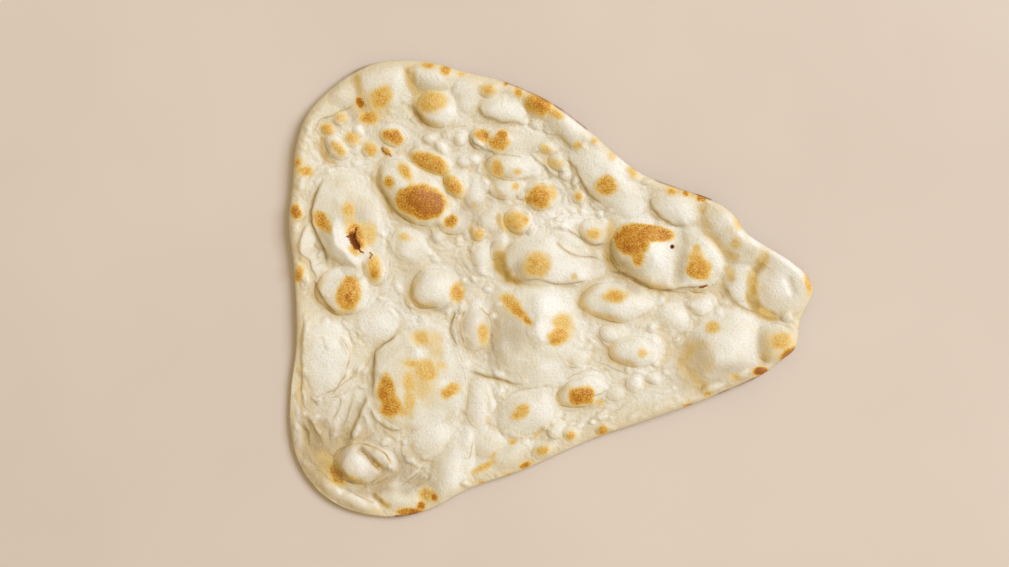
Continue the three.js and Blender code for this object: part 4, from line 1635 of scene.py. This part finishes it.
class NAAN_OT_bread(bpy.types.Operator):
    """Bakes the bread: one closed piece with its blisters, creases and browned spots"""

    bl_idname = "naan.bread"
    bl_label = "Bread"

    def execute(self, context):
        scene = context.scene
        bread = bpy.data.objects.new("naan_bread", bread_mesh(scene.naan_shape))
        scene.collection.objects.link(bread)
        bread.data.materials.append(baked_dough(scene.naan_colours))
        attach(bread, "root")
        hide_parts(BREAD_NODE)
        return {"FINISHED"}


class NAAN_OT_stage(bpy.types.Operator):
    """Lays the floor and sets the lights and the camera"""

    bl_idname = "naan.stage"
    bl_label = "Stage"

    # The picture's size, and the pixel where the bread's origin shows in it.
    PICTURE = (1009, 567)
    ORIGIN_PIXEL = (550.5, 288.5)
    # The floor lies this far under the bread, so that their faces don't coincide.
    FLOOR_GAP = 0.1 * MM
    # Half a side of the floor, in metres.
    FLOOR_REACH = 12.0

    def execute(self, context):
        scene = context.scene
        self.lay_floor(scene)
        self.hang_lights(scene)
        self.aim_camera(scene)
        scene.view_settings.view_transform = "Standard"
        return {"FINISHED"}

    def lay_floor(self, scene):
        bm = bmesh.new()
        bmesh.ops.create_grid(bm, x_segments=1, y_segments=1, size=self.FLOOR_REACH)
        bmesh.ops.translate(bm, verts=bm.verts, vec=(0.0, 0.0, -self.FLOOR_GAP))
        mesh = bpy.data.meshes.new("floor")
        bm.to_mesh(mesh)
        bm.free()
        mesh.materials.append(floor_finish(scene.naan_colours))
        floor = bpy.data.objects.new("floor", mesh)
        scene.collection.objects.link(floor)

    def hang_lights(self, scene):
        stage = scene.naan_stage
        key = bpy.data.lights.new("key", "AREA")
        key.energy = stage.key_power
        key.size = stage.key_size
        key.color = stage.key_colour
        lamp = bpy.data.objects.new("key", key)
        lamp.location = stage.key_place
        lamp.rotation_euler = (-Vector(lamp.location)).to_track_quat("-Z", "Y").to_euler()
        scene.collection.objects.link(lamp)
        world = bpy.data.worlds.new("sky")
        world.use_nodes = True
        background = world.node_tree.nodes["Background"]
        background.inputs["Color"].default_value = opaque(stage.sky_colour)
        background.inputs["Strength"].default_value = stage.sky
        scene.world = world

    def aim_camera(self, scene):
        stage = scene.naan_stage
        lens = bpy.data.cameras.new("camera")
        lens.lens = stage.lens
        camera = bpy.data.objects.new("camera", lens)
        width, height = self.PICTURE
        across = (width / 2 - self.ORIGIN_PIXEL[0]) * stage.pixel
        up = (self.ORIGIN_PIXEL[1] - height / 2) * stage.pixel
        away = stage.lens / lens.sensor_width * width * stage.pixel
        camera.location = (across, up, away)
        scene.collection.objects.link(camera)
        scene.camera = camera


class NAAN_PT_sidebar(bpy.types.Panel):
    """Lists the bread's settings and the steps that make it"""

    bl_idname = "NAAN_PT_sidebar"
    bl_label = "Naan Bread"
    bl_space_type = "VIEW_3D"
    bl_region_type = "UI"
    bl_category = "Naan"

    def draw(self, context):
        for step in STEPS:
            self.layout.operator(step.bl_idname)
        for group in SETTINGS:
            settings = getattr(context.scene, group)
            for name in settings.bl_rna.properties.keys():
                if name not in ("rna_type", "name"):
                    self.layout.prop(settings, name)


SETTINGS = {"naan_shape": NaanShape, "naan_colours": NaanColours, "naan_stage": NaanStage}
STEPS = (NAAN_OT_bread, NAAN_OT_stage)
CLASSES = (*SETTINGS.values(), *STEPS, NAAN_PT_sidebar)


def register():
    for one in CLASSES:
        bpy.utils.register_class(one)
    for name, group in SETTINGS.items():
        setattr(bpy.types.Scene, name, bpy.props.PointerProperty(type=group))


def unregister():
    for name in SETTINGS:
        delattr(bpy.types.Scene, name)
    for one in reversed(CLASSES):
        bpy.utils.unregister_class(one)


def main():
    register()
    bpy.ops.naan.bread()
    bpy.ops.naan.stage()


if __name__ == "__main__":
    main()
